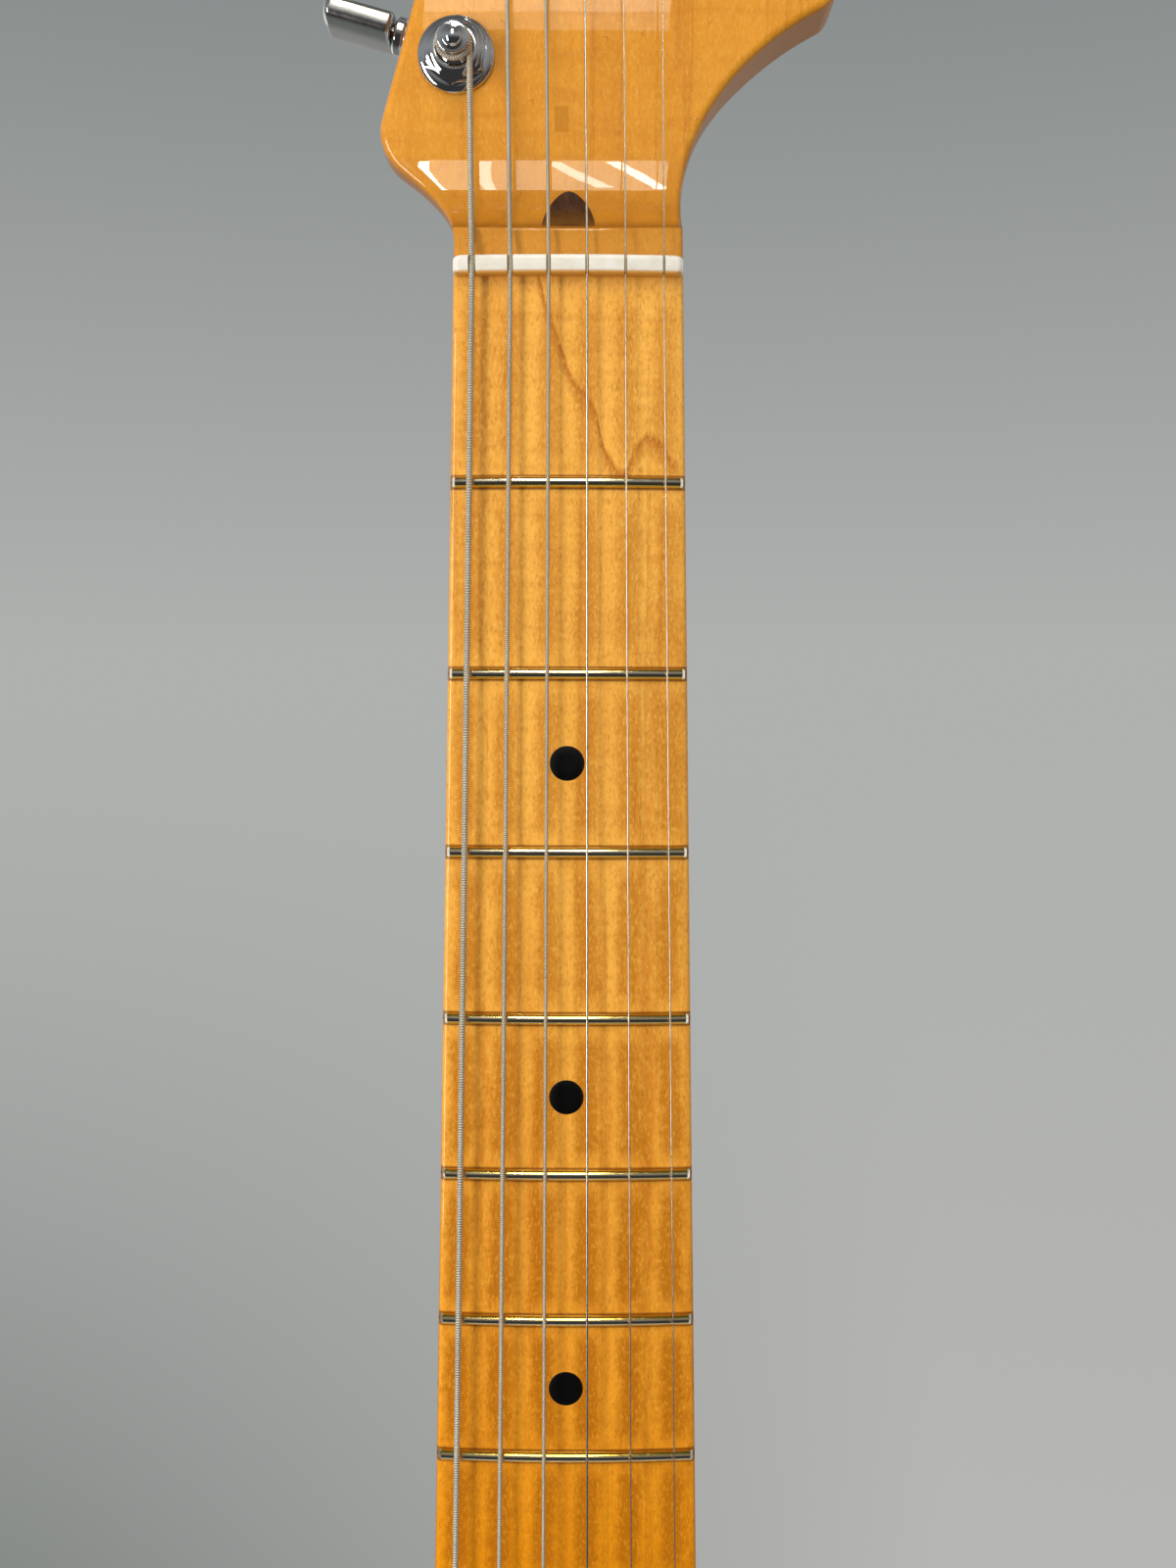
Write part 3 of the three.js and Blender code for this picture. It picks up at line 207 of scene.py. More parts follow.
def face_outward(mesh):
    build = bmesh.new()
    build.from_mesh(mesh)
    bmesh.ops.remove_doubles(build, verts=build.verts, dist=1e-7)
    bmesh.ops.recalc_face_normals(build, faces=build.faces)
    build.to_mesh(mesh)
    build.free()


def modifier(piece, kind, **settings):
    made = piece.modifiers.new(kind.lower(), kind)
    for key, value in settings.items():
        setattr(made, key, value)
    return made


def declare(piece, body, replaced):
    """Tells the frame which body a piece rides on, and hides the CAD node that it stands for."""
    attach(piece, body)
    if replaced:
        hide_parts(replaced)


def make_piece(name, skin, material, replaced=None, body="neck", split=None, flat=False):
    """A piece of the object from points and faces. Edges sharper than split degrees stay sharp."""
    piece = new_object(name, *skin, material)
    face_outward(piece.data)
    for polygon in piece.data.polygons:
        polygon.use_smooth = not flat
    declare(piece, body, replaced)
    if split:
        modifier(piece, "EDGE_SPLIT", split_angle=math.radians(split))
    return piece


def cut(piece, skin):
    """Takes a closed skin out of a piece's mesh."""
    cutter = new_object("cutter", *skin)
    face_outward(cutter.data)
    modifier(piece, "BOOLEAN", operation="DIFFERENCE", object=cutter, solver="EXACT")
    bpy.context.view_layer.update()
    depsgraph = bpy.context.evaluated_depsgraph_get()
    baked = bpy.data.meshes.new_from_object(piece.evaluated_get(depsgraph))
    piece.modifiers.clear()
    piece.data = baked
    bpy.data.objects.remove(cutter)


def loft(rings, closed=True, capped=True):
    """Points and faces of a skin through rings that have as many points each."""
    count = len(rings[0])
    last = (len(rings) - 1) * count
    faces = []
    for start in range(0, last, count):
        for i in range(count if closed else count - 1):
            here, after = start + i, start + (i + 1) % count
            faces.append((here, after, after + count, here + count))
    if capped:
        faces += [tuple(range(count)), tuple(range(last, last + count))]
    return [point for ring in rings for point in ring], faces


def joined(*parts):
    """Points and faces of several skins as one."""
    points, faces = [], []
    for more_points, more_faces in parts:
        start = len(points)
        points += more_points
        faces += [tuple(i + start for i in face) for face in more_faces]
    return points, faces


def lathe(profile, sides, origin, axis, aside):
    """A skin of (radius, height) pairs turned round an axis, closed where the radius is 0."""
    up = axis.cross(aside)
    points, faces, starts = [], [], []
    for radius, height in profile:
        starts.append(len(points))
        spokes = circle(sides) if radius > 0 else [(0, 0)]
        points += [origin + axis * height + (aside * c + up * s) * radius for c, s in spokes]
    for k in range(len(profile) - 1):
        low, high = starts[k], starts[k + 1]
        for i in range(sides):
            after = (i + 1) % sides
            if profile[k][0] == 0:
                faces.append((low, high + after, high + i))
            elif profile[k + 1][0] == 0:
                faces.append((low + i, low + after, high))
            else:
                faces.append((low + i, low + after, high + after, high + i))
    return points, faces


def rounded(radius, height, corner, start, end, steps=5):
    """A round of a lathe's profile about (radius, height), from one number of quarter turns to another."""
    angles = [mix(start, end, share) * QUARTER for share in shares(steps)]
    return [(radius + corner * math.cos(angle), height + corner * math.sin(angle)) for angle in angles]


# Outline of the neck and headstock, seen from the front

def half_width(z):
    return mix(HEEL_WIDTH, NUT_WIDTH, (z - HEEL_END) / (Z_NUT - HEEL_END)) / 2


def post_place(tuner):
    along = tuner * TUNER_PITCH
    return Vector((along * HEAD_SIN - FIRST_POST_TO_BASS, 0, Z_NUT + FIRST_POST_RISE + along * HEAD_COS))


def along_edge(tuner, outward, tipward, y):
    place = post_place(tuner) + OUTWARD * outward + TIPWARD * tipward
    return Vector((place.x, y, place.z))


def bass_edge_x(z):
    first = post_place(0)
    return first.x - EDGE_TO_POST / HEAD_COS + (z - first.z) * math.tan(HEADSTOCK_ANGLE)


def curve_chain(start, end, curves):
    """Points of cubic curves whose control points are shares of the way from start to end."""
    points = [Vector(start)]
    for controls in curves:
        a = points[-1]
        b, c, d = (Vector((mix(start[0], end[0], u), mix(start[1], end[1], v))) for u, v in controls)
        for t in shares(OUTLINE_STEPS)[1:]:
            s = 1 - t
            points.append(a * s ** 3 + b * 3 * s * s * t + c * 3 * s * t * t + d * t ** 3)
    return points


def headstock_outline():
    """The bass and the treble half of the outline, from the flares to the tip."""
    last = post_place(TUNER_COUNT - 1)
    tip = (last.x + TIP_TO_TREBLE_OF_LAST_POST, last.z + TIP_PAST_LAST_POST)
    bass_start = Z_NUT + BASS_FLARE_RISE
    tip_start = tip[1] - BASS_TIP_ROUND
    treble_start = Z_NUT + TREBLE_FLARE_RISE
    corner = (TREBLE_REACH, Z_NUT + TREBLE_CORNER_RISE)
    join = (bass_edge_x(JOIN_Z), JOIN_Z)
    bass = curve_chain((-half_width(bass_start), bass_start), join, BASS_FLARE_SHARES)
    bass += curve_chain((bass_edge_x(tip_start), tip_start), tip, BASS_TIP_SHARES)
    treble = curve_chain((half_width(treble_start), treble_start), corner, TREBLE_FLARE_SHARES)
    return bass, treble + curve_chain(corner, tip, TREBLE_SIDE_SHARES)[1:]


BASS_OUTLINE, TREBLE_OUTLINE = headstock_outline()


def edge_x(side, z):
    """X of one edge of the wood at a height, below the flare and in it."""
    points = BASS_OUTLINE if side < 0 else TREBLE_OUTLINE
    if z <= points[0].y:
        return side * half_width(z)
    after = next(i for i, point in enumerate(points) if point.y >= z)
    a, b = points[after - 1], points[after]
    return mix(a.x, b.x, (z - a.y) / (b.y - a.y))


def edge_stretch(side, z, reach=0.04):
    """How much longer the edge is than its rise, which widens a round that is cut across the neck."""
    slope = (edge_x(side, z + reach) - edge_x(side, z - reach)) / (reach * 2)
    return math.hypot(1, slope)


# Surfaces of the neck

def board_y(x):
    return CROWN_Y + BOARD_RADIUS - math.sqrt(BOARD_RADIUS ** 2 - x ** 2)


def cove_y(z):
    reach = min(max(COVE_END - z, 0) / COVE_RADIUS, 1)
    return FACE_Y - COVE_RADIUS * (1 - math.cos(math.asin(reach)))


def cove_z(y):
    return COVE_END - COVE_RADIUS * math.sin(math.acos(1 - (FACE_Y - y) / COVE_RADIUS))


def front_y(x, z):
    return board_y(x) if z <= LIP_Z else max(board_y(x), cove_y(z))


def block_share(z):
    """1 where the section is a block, at the heel and in the headstock, and 0 in the round shaft."""
    heel = 1 - smooth(z, PAD_END, PAD_END + HEEL_SWEEP)
    return max(heel, smooth(z, Z_NUT - BACK_SWEEP_BELOW_NUT, Z_NUT + BACK_SWEEP_ABOVE_NUT))


def back_y(z):
    share = (z - fret_z(1)) / (fret_z(OCTAVE_FRETS) - fret_z(1))
    shaft = CROWN_Y + mix(THICKNESS_AT_FRET_1, THICKNESS_AT_FRET_12, share)
    return mix(shaft, 0, block_share(z))


def back_round(side, z):
    """The round at the back edge: how far it goes inward, and how far along the thickness."""
    if z < fret_z(OCTAVE_FRETS):
        return HEEL_CORNER, HEEL_CORNER
    start = Z_NUT + FLANK_RISE
    flank = 1 - smooth(z, start, start + (TREBLE_FLANK_RUN if side > 0 else BASS_FLANK_RUN))
    return mix(HEADSTOCK_EDGE_ROUND, FLANK_INSET, flank), mix(HEADSTOCK_EDGE_ROUND, FLANK_DEPTH, flank)


def side_points(side, z):
    """One side of a section: X of the flat front's end, then the round, the side and the back."""
    edge = abs(edge_x(side, z))
    stretch = edge_stretch(side, z)
    roll = mix(BOARD_EDGE_ROLL, HEADSTOCK_EDGE_ROUND, smooth(z, LIP_Z, COVE_END))
    inner = edge - roll * stretch
    inner_y = front_y(inner, z)
    points = [(inner + roll * stretch * s, inner_y + roll * (1 - c)) for s, c in arc(ROUND_STEPS)[1:]]
    blocky = block_share(z)
    back_inset, back_depth = back_round(side, z)
    flat = mix(SPINE_FLAT / 2, edge - back_inset * stretch, blocky)
    back = back_y(z)
    start = mix(inner_y + roll + SIDE_DEPTH, back - back_depth, blocky)
    power = 2 / mix(SHAFT_FULLNESS, ROUND_FULLNESS, blocky)
    points += [(mix(flat, edge, max(c, 0) ** power), mix(start, back, s ** power))
               for s, c in arc(BACK_STEPS)]
    return inner, points


def neck_section(z):
    treble_inner, treble = side_points(1, z)
    bass_inner, bass = side_points(-1, z)
    front = [mix(-bass_inner, treble_inner, share) for share in shares(FRONT_STEPS)]
    ring = [(x, front_y(x, z)) for x in front] + treble + [(-x, y) for x, y in reversed(bass)]
    return [Vector((x, y, z)) for x, y in ring]


def lip_section():
    """The section at the lip, whose front follows the line where the crowned board meets the hollow."""
    ring = neck_section(LIP_Z)
    edge = cove_z(ring[0].y)
    for i, point in enumerate(ring):
        point.z = cove_z(point.y) if i <= FRONT_STEPS else edge
    return ring


# Nodes of the materials and the world

def node(tree, kind, inputs=(), output=0, **settings):
    """The value at one output of a new node."""
    made = tree.nodes.new(kind)
    for key, value in settings.items():
        setattr(made, key, value)
    for key, value in dict(inputs).items():
        fill(made.inputs[key], value)
    return Value(tree, made.outputs[output])


def fill(socket, value):
    """Links a node's value to a socket, or sets the socket."""
    if isinstance(value, Value):
        value.tree.links.new(value.socket, socket)
    else:
        socket.default_value = value


class Value:
    """What a node gives. Sums and ranges of it are nodes too."""

    def __init__(self, tree, socket):
        self.tree = tree
        self.socket = socket

    def math(self, operation, *others):
        return node(self.tree, "ShaderNodeMath", dict(enumerate((self, *others))), operation=operation)

    def __add__(self, other):
        return self.math("ADD", other)

    def __sub__(self, other):
        return self.math("SUBTRACT", other)

    def __mul__(self, other):
        return self.math("MULTIPLY", other)

    def __truediv__(self, other):
        return self.math("DIVIDE", other)

    def __abs__(self):
        return self.math("ABSOLUTE")

    def ranged(self, low, high, to_low=0, to_high=1, clamp=True):
        """The place between two results that this value has between low and high."""
        return node(self.tree, "ShaderNodeMapRange", {"Value": self, "From Min": low, "From Max": high,
                                                      "To Min": to_low, "To Max": to_high}, clamp=clamp)

    def span(self, start, end, soft):
        """1 between two places, with soft ends."""
        return self.ranged(start - soft, start) * self.ranged(end + soft, end)

    def parts(self):
        """X, Y and Z of a vector."""
        apart = node(self.tree, "ShaderNodeSeparateXYZ", {0: self}).socket.node
        return [Value(self.tree, output) for output in apart.outputs]


def new_material(name):
    material = bpy.data.materials.new(name)
    material.use_nodes = True
    return material, material.node_tree


def dressed(material, finish):
    """The material with its shader's sockets filled by name."""
    for key, value in finish.items():
        fill(material.node_tree.nodes["Principled BSDF"].inputs[key], value)
    return material


def srgb(red, green, blue):
    """A colour as seen on the photo, from 0 to 255, as linear light."""
    values = [value / 255 for value in (red, green, blue)]
    return (*[v / 12.92 if v <= 0.04045 else ((v + 0.055) / 1.055) ** 2.4 for v in values], 1)


def place_parts(tree):
    """X, Y and Z of the point that is coloured, in millimetres."""
    place = node(tree, "ShaderNodeTexCoord", output="Object")
    return node(tree, "ShaderNodeVectorMath", {0: place, "Scale": 1 / MM}, operation="SCALE").parts()


def stretched(tree, scale):
    """The point's place scaled along each axis."""
    place = node(tree, "ShaderNodeTexCoord", output="Object")
    return node(tree, "ShaderNodeMapping", {"Vector": place, "Scale": scale})


def noise(tree, place, detail=3, roughness=0.5, distortion=0):
    """Noise at a place, or with as many features in a metre along each axis as a scale says."""
    place = place if isinstance(place, Value) else stretched(tree, place)
    return node(tree, "ShaderNodeTexNoise", {"Vector": place, "Scale": 1, "Detail": detail,
                                             "Roughness": roughness, "Distortion": distortion})


def blended(share, a, b):
    """Two colours mixed. The colour sockets of a Mix node are inputs 6 and 7 and output 2."""
    return node(share.tree, "ShaderNodeMix", {0: share, 6: a, 7: b}, 2, data_type="RGBA")


def painted(color, *coats):
    """A colour with coats of (share, red, green, blue) over it."""
    for share, *shade in coats:
        color = blended(share, color, srgb(*shade))
    return color


def bumped(height, strength, distance):
    return node(height.tree, "ShaderNodeBump",
                {"Height": height, "Strength": strength, "Distance": distance * MM})


# Materials

GRAIN_ARCH_SHARES = [(0.01, 0.04), (0.07, 0.18), (0.14, 0.32), (0.2, 0.44), (0.27, 0.54), (0.36, 0.6),
                     (0.41, 0.69), (0.45, 0.81), (0.51, 0.9), (0.59, 0.96), (0.64, 0.92), (0.68, 0.84),
                     (0.74, 0.79), (0.81, 0.78), (0.86, 0.8), (0.9, 0.85), (0.94, 0.9), (1.0, 0.92)]
GRAIN_ARCH_LEFT = -5.2
GRAIN_ARCH_RIGHT = 20.2
GRAIN_ARCH_RUN = 36.4
# How far from a fret's middle the painted shadow and reflection of the fret reaches
FRET_SHADOW_REACH = 1.5
FACE_MARK_X = (-2.6, -0.2)
FACE_MARK_Z = (Z_NUT + 29.25, Z_NUT + 33.55)


def grain_arch(tree, x, y, z):
    """The share of a dark growth ring that runs down behind the nut and turns up into an arch."""
    curve = node(tree, "ShaderNodeFloatCurve", {"Value": x.ranged(GRAIN_ARCH_LEFT, GRAIN_ARCH_RIGHT)})
    mapping = curve.socket.node.mapping
    points = mapping.curves[0].points
    for across, down in GRAIN_ARCH_SHARES[1:-1]:
        points.new(across, down)
    points[0].location = GRAIN_ARCH_SHARES[0]
    points[len(points) - 1].location = GRAIN_ARCH_SHARES[-1]
    mapping.update()
    wobble = noise(tree, (900, 100, 300), detail=4, roughness=0.7)
    sway = z.ranged(Z_NUT, Z_NUT - GRAIN_ARCH_RUN, clamp=False) - curve + wobble * 0.1
    ring = sway.ranged(0.05, 0.16, 1, 0) * sway.ranged(0.01, 0.05)
    right = x.ranged(GRAIN_ARCH_RIGHT - 1, GRAIN_ARCH_RIGHT, 1, 0)
    left = x.ranged(GRAIN_ARCH_LEFT - 0.5, GRAIN_ARCH_LEFT)
    return ring * right * left * y.ranged(CROWN_Y + 2.5, CROWN_Y + 4, 1, 0)


def board_bands_and_fret_shadows(tree, x, y, z):
    """The shares of the board's darker bands, midway between strings, and of the painted shadow and
    reflection lines beside its frets.
    """
    ripple = noise(tree, (300, 60, 520), roughness=0.7)
    slow = noise(tree, (60, 60, 40), detail=2)
    across = x / z.ranged(0, Z_NUT, string_step(0), string_step(Z_NUT)) + ripple * 0.34 + slow * 0.3 + 2.68
    band = abs(across.math("FRACT") - 0.5).ranged(0.37, 0.17)
    length = z - (Z_NUT - SCALE_LENGTH)
    frets = (length / SCALE_LENGTH).math("LOGARITHM", 2) * -OCTAVE_FRETS
    middle = abs(frets.math("FRACT") - 0.5)
    board = z.ranged(Z_NUT, Z_NUT - 1) * y.ranged(CROWN_Y + 2.5, CROWN_Y + 1.5)
    strength = z.ranged(Z_NUT - 60, Z_NUT - 190, 0.46, 0.85)
    away = middle.ranged(0, 0.5, 0.5, 0) * length * (math.log(2) / OCTAVE_FRETS)
    # Dark lines on the wood just beside each fret: painted shadow and reflection of the fret
    fret_shadow = away.ranged(FRET_SHADOW_REACH, FRET_SHADOW_REACH - 0.3) * z.ranged(Z_NUT - 2, Z_NUT - 3)
    return band * middle.ranged(0.46, 0.32) * board * strength, fret_shadow * board


def maple_material():
    """Amber lacquered maple: long grain lines, cross bands of flame, flecks and a glossy coat."""
    material, tree = new_material("maple")
    x, y, z = place_parts(tree)
    front = y.ranged(CROWN_Y + 14, CROWN_Y + 8)
    gradual = z.ranged(Z_NUT - 60, Z_NUT + 50)
    headward = (z.ranged(Z_NUT, Z_NUT + 10) - gradual) * front + gradual
    # Darker toward the heel and lighter toward the nut: painted falloff of light along the board
    golden = blended(z.ranged(Z_NUT - 240, Z_NUT - 110), srgb(238, 148, 2), srgb(250, 181, 76))
    lines = noise(tree, (420, 300, 12), detail=5, roughness=0.6, distortion=0.9)
    shift = node(tree, "ShaderNodeCombineXYZ", {"X": noise(tree, (24, 60, 60), detail=2) * 1.6})
    bent = node(tree, "ShaderNodeVectorMath", {0: stretched(tree, (300, 200, 5)), 1: shift}, operation="ADD")
    bands, fret_shadows = board_bands_and_fret_shadows(tree, x, y, z)
    fade = headward.ranged(0, 1, 1, 0.45)
    dark = noise(tree, (2100, 1500, 800), detail=2, roughness=0.6).ranged(0.5, 0.72, 0, 0.42) * fade
    color = painted(
        golden,
        (headward, 226, 151, 42),
        (noise(tree, (110, 60, 9), detail=4, roughness=0.55).ranged(0.42, 0.7, 0, 0.36), 200, 120, 14),
        (lines.ranged(0.55, 0.75, 0, 0.42), 160, 84, 10),
        (noise(tree, bent, detail=2, roughness=0.4).ranged(0.5, 0.7)
         * z.ranged(Z_NUT - 30, Z_NUT - 150, 0.15, 0.6), 196, 106, 8),
        (noise(tree, (34, 60, 230), distortion=0.9).ranged(0.45, 0.75, 0, 0.26), 184, 104, 14),
        (grain_arch(tree, x, y, z) * 0.85, 182, 100, 18),
        (bands, 182, 106, 4),
        (dark, 176, 98, 6),
    )
    spark = blended(z.ranged(Z_NUT - 230, Z_NUT - 60), srgb(255, 176, 40), srgb(255, 206, 104))
    pale = noise(tree, (2300, 1300, 1000), detail=2, roughness=0.6).ranged(0.5, 0.72, 0, 0.4) * fade
    level = abs(node(tree, "ShaderNodeNewGeometry", output="Normal").parts()[1])
    face = z.ranged(LIP_Z + 4, COVE_END + 1) * y.ranged(FACE_Y + 1, FACE_Y + 0.3)
    mark = x.span(*FACE_MARK_X, 0.25) * z.span(*FACE_MARK_Z, 0.35)
    wander = noise(tree, (230, 230, 300), detail=1, roughness=0.4, distortion=0.4)
    sparse = noise(tree, (190, 190, 210), detail=2).ranged(0.58, 0.64, 0, 0.55)
    color = painted(
        blended(pale, color, spark),
        # Sides turned away from the front painted darker: painted shade
        (level.ranged(0.2, 0.8, 0.7, 0), 138, 76, 8),
        # The shelf behind the nut and the foot of the hollow painted darker: painted shade
        (z.ranged(Z_NUT, Z_NUT + 3) * z.ranged(COVE_END + 3, COVE_END - 9, 0, 0.42), 160, 98, 20),
        # A dark line just above the lip: painted reflection of the dark room in the hollow
        (z.ranged(LIP_Z + 0.2, LIP_Z + 0.7) * z.ranged(LIP_Z + 2.4, LIP_Z + 0.9, 0, 0.6)
         * y.ranged(FACE_Y + 1.5, FACE_Y), 132, 78, 12),
        # Painted shadow and reflection of each fret on the wood beside it
        (fret_shadows * 0.75, 118, 64, 12),
        (mark * face * 0.5, 186, 112, 14),
        (abs(wander - 0.5).ranged(0.006, 0.001) * sparse * face, 128, 72, 10),
    )
    return dressed(material, {
        "Base Color": color, "Roughness": 0.45, "Specular IOR Level": 0.06,
        "Normal": bumped(lines, 0.25, 0.02), "Coat Weight": level.ranged(0.2, 0.8, 0.3, 0.85),
        "Coat Roughness": 0.012, "Coat IOR": 1.5,
        "Coat Normal": bumped(noise(tree, (160, 160, 60), detail=2), 0.12, 0.05)})


def dark_wood_material(name, light, dark):
    """Dark lacquered wood with fine grain along Z."""
    material, tree = new_material(name)
    grain = noise(tree, (1800, 900, 60), detail=5, roughness=0.7)
    return dressed(material, {
        "Base Color": blended(grain.ranged(0.35, 0.7), dark, light), "Roughness": 0.45,
        "Specular IOR Level": 0.2, "Coat Weight": 0.7, "Coat Roughness": 0.03,
        "Normal": bumped(grain, 0.2, 0.02)})


def bone_material():
    """Bone with pores, and its front face painted amber: a painted reflection of the wood."""
    material, tree = new_material("bone")
    z = place_parts(tree)[2]
    pores = noise(tree, (1500, 4000, 4000), detail=2)
    color = painted(srgb(236, 231, 220),
                    (noise(tree, (300, 500, 500), detail=4, roughness=0.6).ranged(0.35, 0.7), 222, 213, 194),
                    (pores.ranged(0.66, 0.76, 0, 0.5), 196, 180, 144),
                    # Front face painted amber: painted reflection of the wood
                    (z.ranged(Z_NUT + 0.3, Z_NUT + 0.75, 1, 0), 214, 150, 60))
    return dressed(material, {
        "Base Color": color, "Roughness": 0.3, "Normal": bumped(pores, 0.15, 0.01),
        "Subsurface Weight": 0.15, "Subsurface Radius": (0.0012, 0.0009, 0.0006), "Subsurface Scale": 1.0})


def inlay_material():
    material, tree = new_material("inlay")
    specks = noise(tree, (3000, 3000, 3000), detail=2)
    color = painted(srgb(5, 4, 4), (specks.ranged(0.6, 0.75, 0, 0.6), 16, 13, 11))
    return dressed(material, {"Base Color": color, "Roughness": 0.35, "Specular IOR Level": 0.2,
                              "Coat Weight": 0.35, "Coat Roughness": 0.04})


def metal_material(name, color, worn, roughness, scratches, wood_reflection=False):
    """Metal with fine scratches, a little tarnish and, where asked, a painted reflection of the amber wood on
    its flanks.
    """
    material, tree = new_material(name)
    tarnish = noise(tree, (70, 70, 70), detail=4, roughness=0.6).ranged(0.4, 0.75, 0, 0.35)
    base = blended(tarnish, srgb(*color), srgb(*worn))
    if wood_reflection:
        # Flanks that face along the neck, painted amber: painted reflection of the wood
        flank = abs(node(tree, "ShaderNodeNewGeometry", output="Normal").parts()[2])
        base = painted(base, (flank.ranged(0.2, 0.65, 0, 0.95), 212, 176, 58))
    fine = noise(tree, (900, 900, 900), roughness=0.7)
    return dressed(material, {
        "Base Color": base, "Metallic": 1.0, "Normal": bumped(fine, scratches, 0.01),
        "Roughness": fine.ranged(0.3, 0.7, roughness * 0.8, roughness * 1.25)})


def string_material(name, pitch):
    """A string whose length in metres is its UV map's first coordinate. A pitch winds it."""
    material, tree = new_material(name)
    dull = noise(tree, (500, 500, 90))
    color = painted(srgb(236, 228, 208), (dull.ranged(0.4, 0.7, 0, 0.3), 176, 164, 142))
    if not pitch:
        return dressed(material, {"Base Color": color, "Metallic": 1.0, "Roughness": 0.24,
                                  "Normal": bumped(dull, 0.05, 0.01)})
    along = node(tree, "ShaderNodeUVMap", uv_map="along").parts()[0]
    ridge = (along * (TURN / (pitch * MM))).math("SINE")
    return dressed(material, {
        # Grooves between the windings painted darker: painted shade
        "Base Color": painted(color, (ridge.ranged(-1, 0, 0.5, 0), 84, 74, 60)), "Metallic": 0.7,
        "Roughness": 0.48, "Normal": bumped(ridge, 0.7, pitch / 4)})


MAPLE = maple_material()
WALNUT = dark_wood_material("walnut", srgb(86, 46, 6), srgb(46, 22, 3))
FILLER = dark_wood_material("slot_filler", srgb(120, 72, 26), srgb(90, 50, 20))
BONE = bone_material()
INLAY = inlay_material()
NICKEL = metal_material("nickel", (224, 216, 196), (196, 178, 140), 0.12, 0.02, wood_reflection=True)
CHROME = metal_material("chrome", (226, 228, 231), (206, 206, 208), 0.05, 0.05)
SATIN = metal_material("satin", (196, 194, 192), (178, 174, 168), 0.2, 0.004)
STEEL = metal_material("steel", (190, 188, 184), (150, 140, 126), 0.3, 0.15)


# The neck

ROD_Y = CROWN_Y + 9.6
TRUSS_NUT_BORE = 4.4
TRUSS_NUT_LENGTH = 14.0
TRUSS_NUT_INSET = 0.6
TRUSS_NUT_GAP = 0.4
COVE_START_SKIP = 0.6
PATCH_DEPTH = 0.2


def headstock_path():
    """The outline above the join, from its bass end round the tip to its treble end."""
    bass = [point for point in BASS_OUTLINE if point.y >= JOIN_Z]
    treble = [point for point in TREBLE_OUTLINE if point.y > JOIN_Z][:-1]
    return bass + treble[::-1] + [Vector((edge_x(1, JOIN_Z), JOIN_Z))]


def inset_path(path, distances):
    """The path drawn in by a distance at each point, with its two ends kept on the join."""
    points = []
    for i, (point, distance) in enumerate(zip(path, distances)):
        if i in (0, len(path) - 1):
            side = -1 if i == 0 else 1
            points.append(Vector((point.x - side * distance * edge_stretch(side, JOIN_Z), JOIN_Z)))
            continue
        before = (point - path[i - 1]).normalized()
        after = (path[i + 1] - point).normalized()
        inward = Vector((before.y + after.y, -before.x - after.x)).normalized()
        miter = inward.dot(Vector((before.y, -before.x)))
        points.append(point + inward * (distance / miter))
    return points


def shaft_skin():
    """Rings from the heel to the join, open at the join."""
    sweep_start, sweep_end = PAD_END + HEEL_SWEEP, Z_NUT - BACK_SWEEP_BELOW_NUT
    places = [HEEL_END] + [PAD_END + HEEL_SWEEP * share for share in shares(18)]
    places += [mix(sweep_start, sweep_end, share) for share in shares(16)][1:-1]
    places += [mix(sweep_end, LIP_Z, share) for share in shares(20)][:-1]
    first = COVE_RADIUS * math.sin(LIP_ANGLE) - COVE_START_SKIP
    above = [COVE_END - first * c for _, c in arc(30)]
    above += [mix(COVE_END, JOIN_Z, share) for share in shares(8)][1:]
    rings = [neck_section(z) for z in places] + [lip_section()] + [neck_section(z) for z in above]
    points, faces = loft(rings, capped=False)
    faces.append(tuple(range(len(rings[0]))))
    return points, faces, rings[-1]


def headstock_skin(join):
    """The headstock above the join: its outline at each level of the rounded edges, and two flat faces."""
    path = headstock_path()
    edge = HEADSTOCK_EDGE_ROUND
    rings = []
    for s, c in arc(ROUND_STEPS):
        level = inset_path(path, [edge * (1 - s)] * len(path))
        rings.append([Vector((point.x, FACE_Y + edge * (1 - c), point.y)) for point in level])
    rounds = [back_round(point.x, point.y) for point in path]
    for s, c in arc(BACK_STEPS):
        inner = inset_path(path, [inset * (1 - c) for inset, _ in rounds])
        rings.append([Vector((point.x, -depth * (1 - s), point.y))
                      for point, (_, depth) in zip(inner, rounds)])
    points, faces = loft(rings, closed=False, capped=False)
    last, end = len(points) - len(path), len(points)
    front_row = join[1:FRONT_STEPS]
    faces.append(tuple(range(len(path))) + tuple(end + i for i in reversed(range(len(front_row)))))
    faces.append(tuple(reversed(range(last, end))))
    return points + front_row, faces


def heel_holes():
    """Pilot holes of the neck bolts, and the hole in which the truss nut turns."""
    drill = [(0, -BOLT_HOLE_DEPTH - BOLT_HOLE_POINT), (BOLT_HOLE_RADIUS, -BOLT_HOLE_DEPTH),
             (BOLT_HOLE_RADIUS, CUT_OVERRUN), (0, CUT_OVERRUN)]
    holes = [lathe(drill, 24, Vector((x, 0, z)), ALONG_Y, ALONG_X) for x, z in BOLT_PLACES]
    start, end = HEEL_END - CUT_OVERRUN, HEEL_END + TRUSS_NUT_INSET + TRUSS_NUT_LENGTH + TRUSS_NUT_GAP
    bore = [(0, start), (TRUSS_NUT_BORE, start), (TRUSS_NUT_BORE, end), (0, end)]
    return joined(*holes, lathe(bore, 40, Vector((0, ROD_Y, 0)), ALONG_Z, ALONG_X))


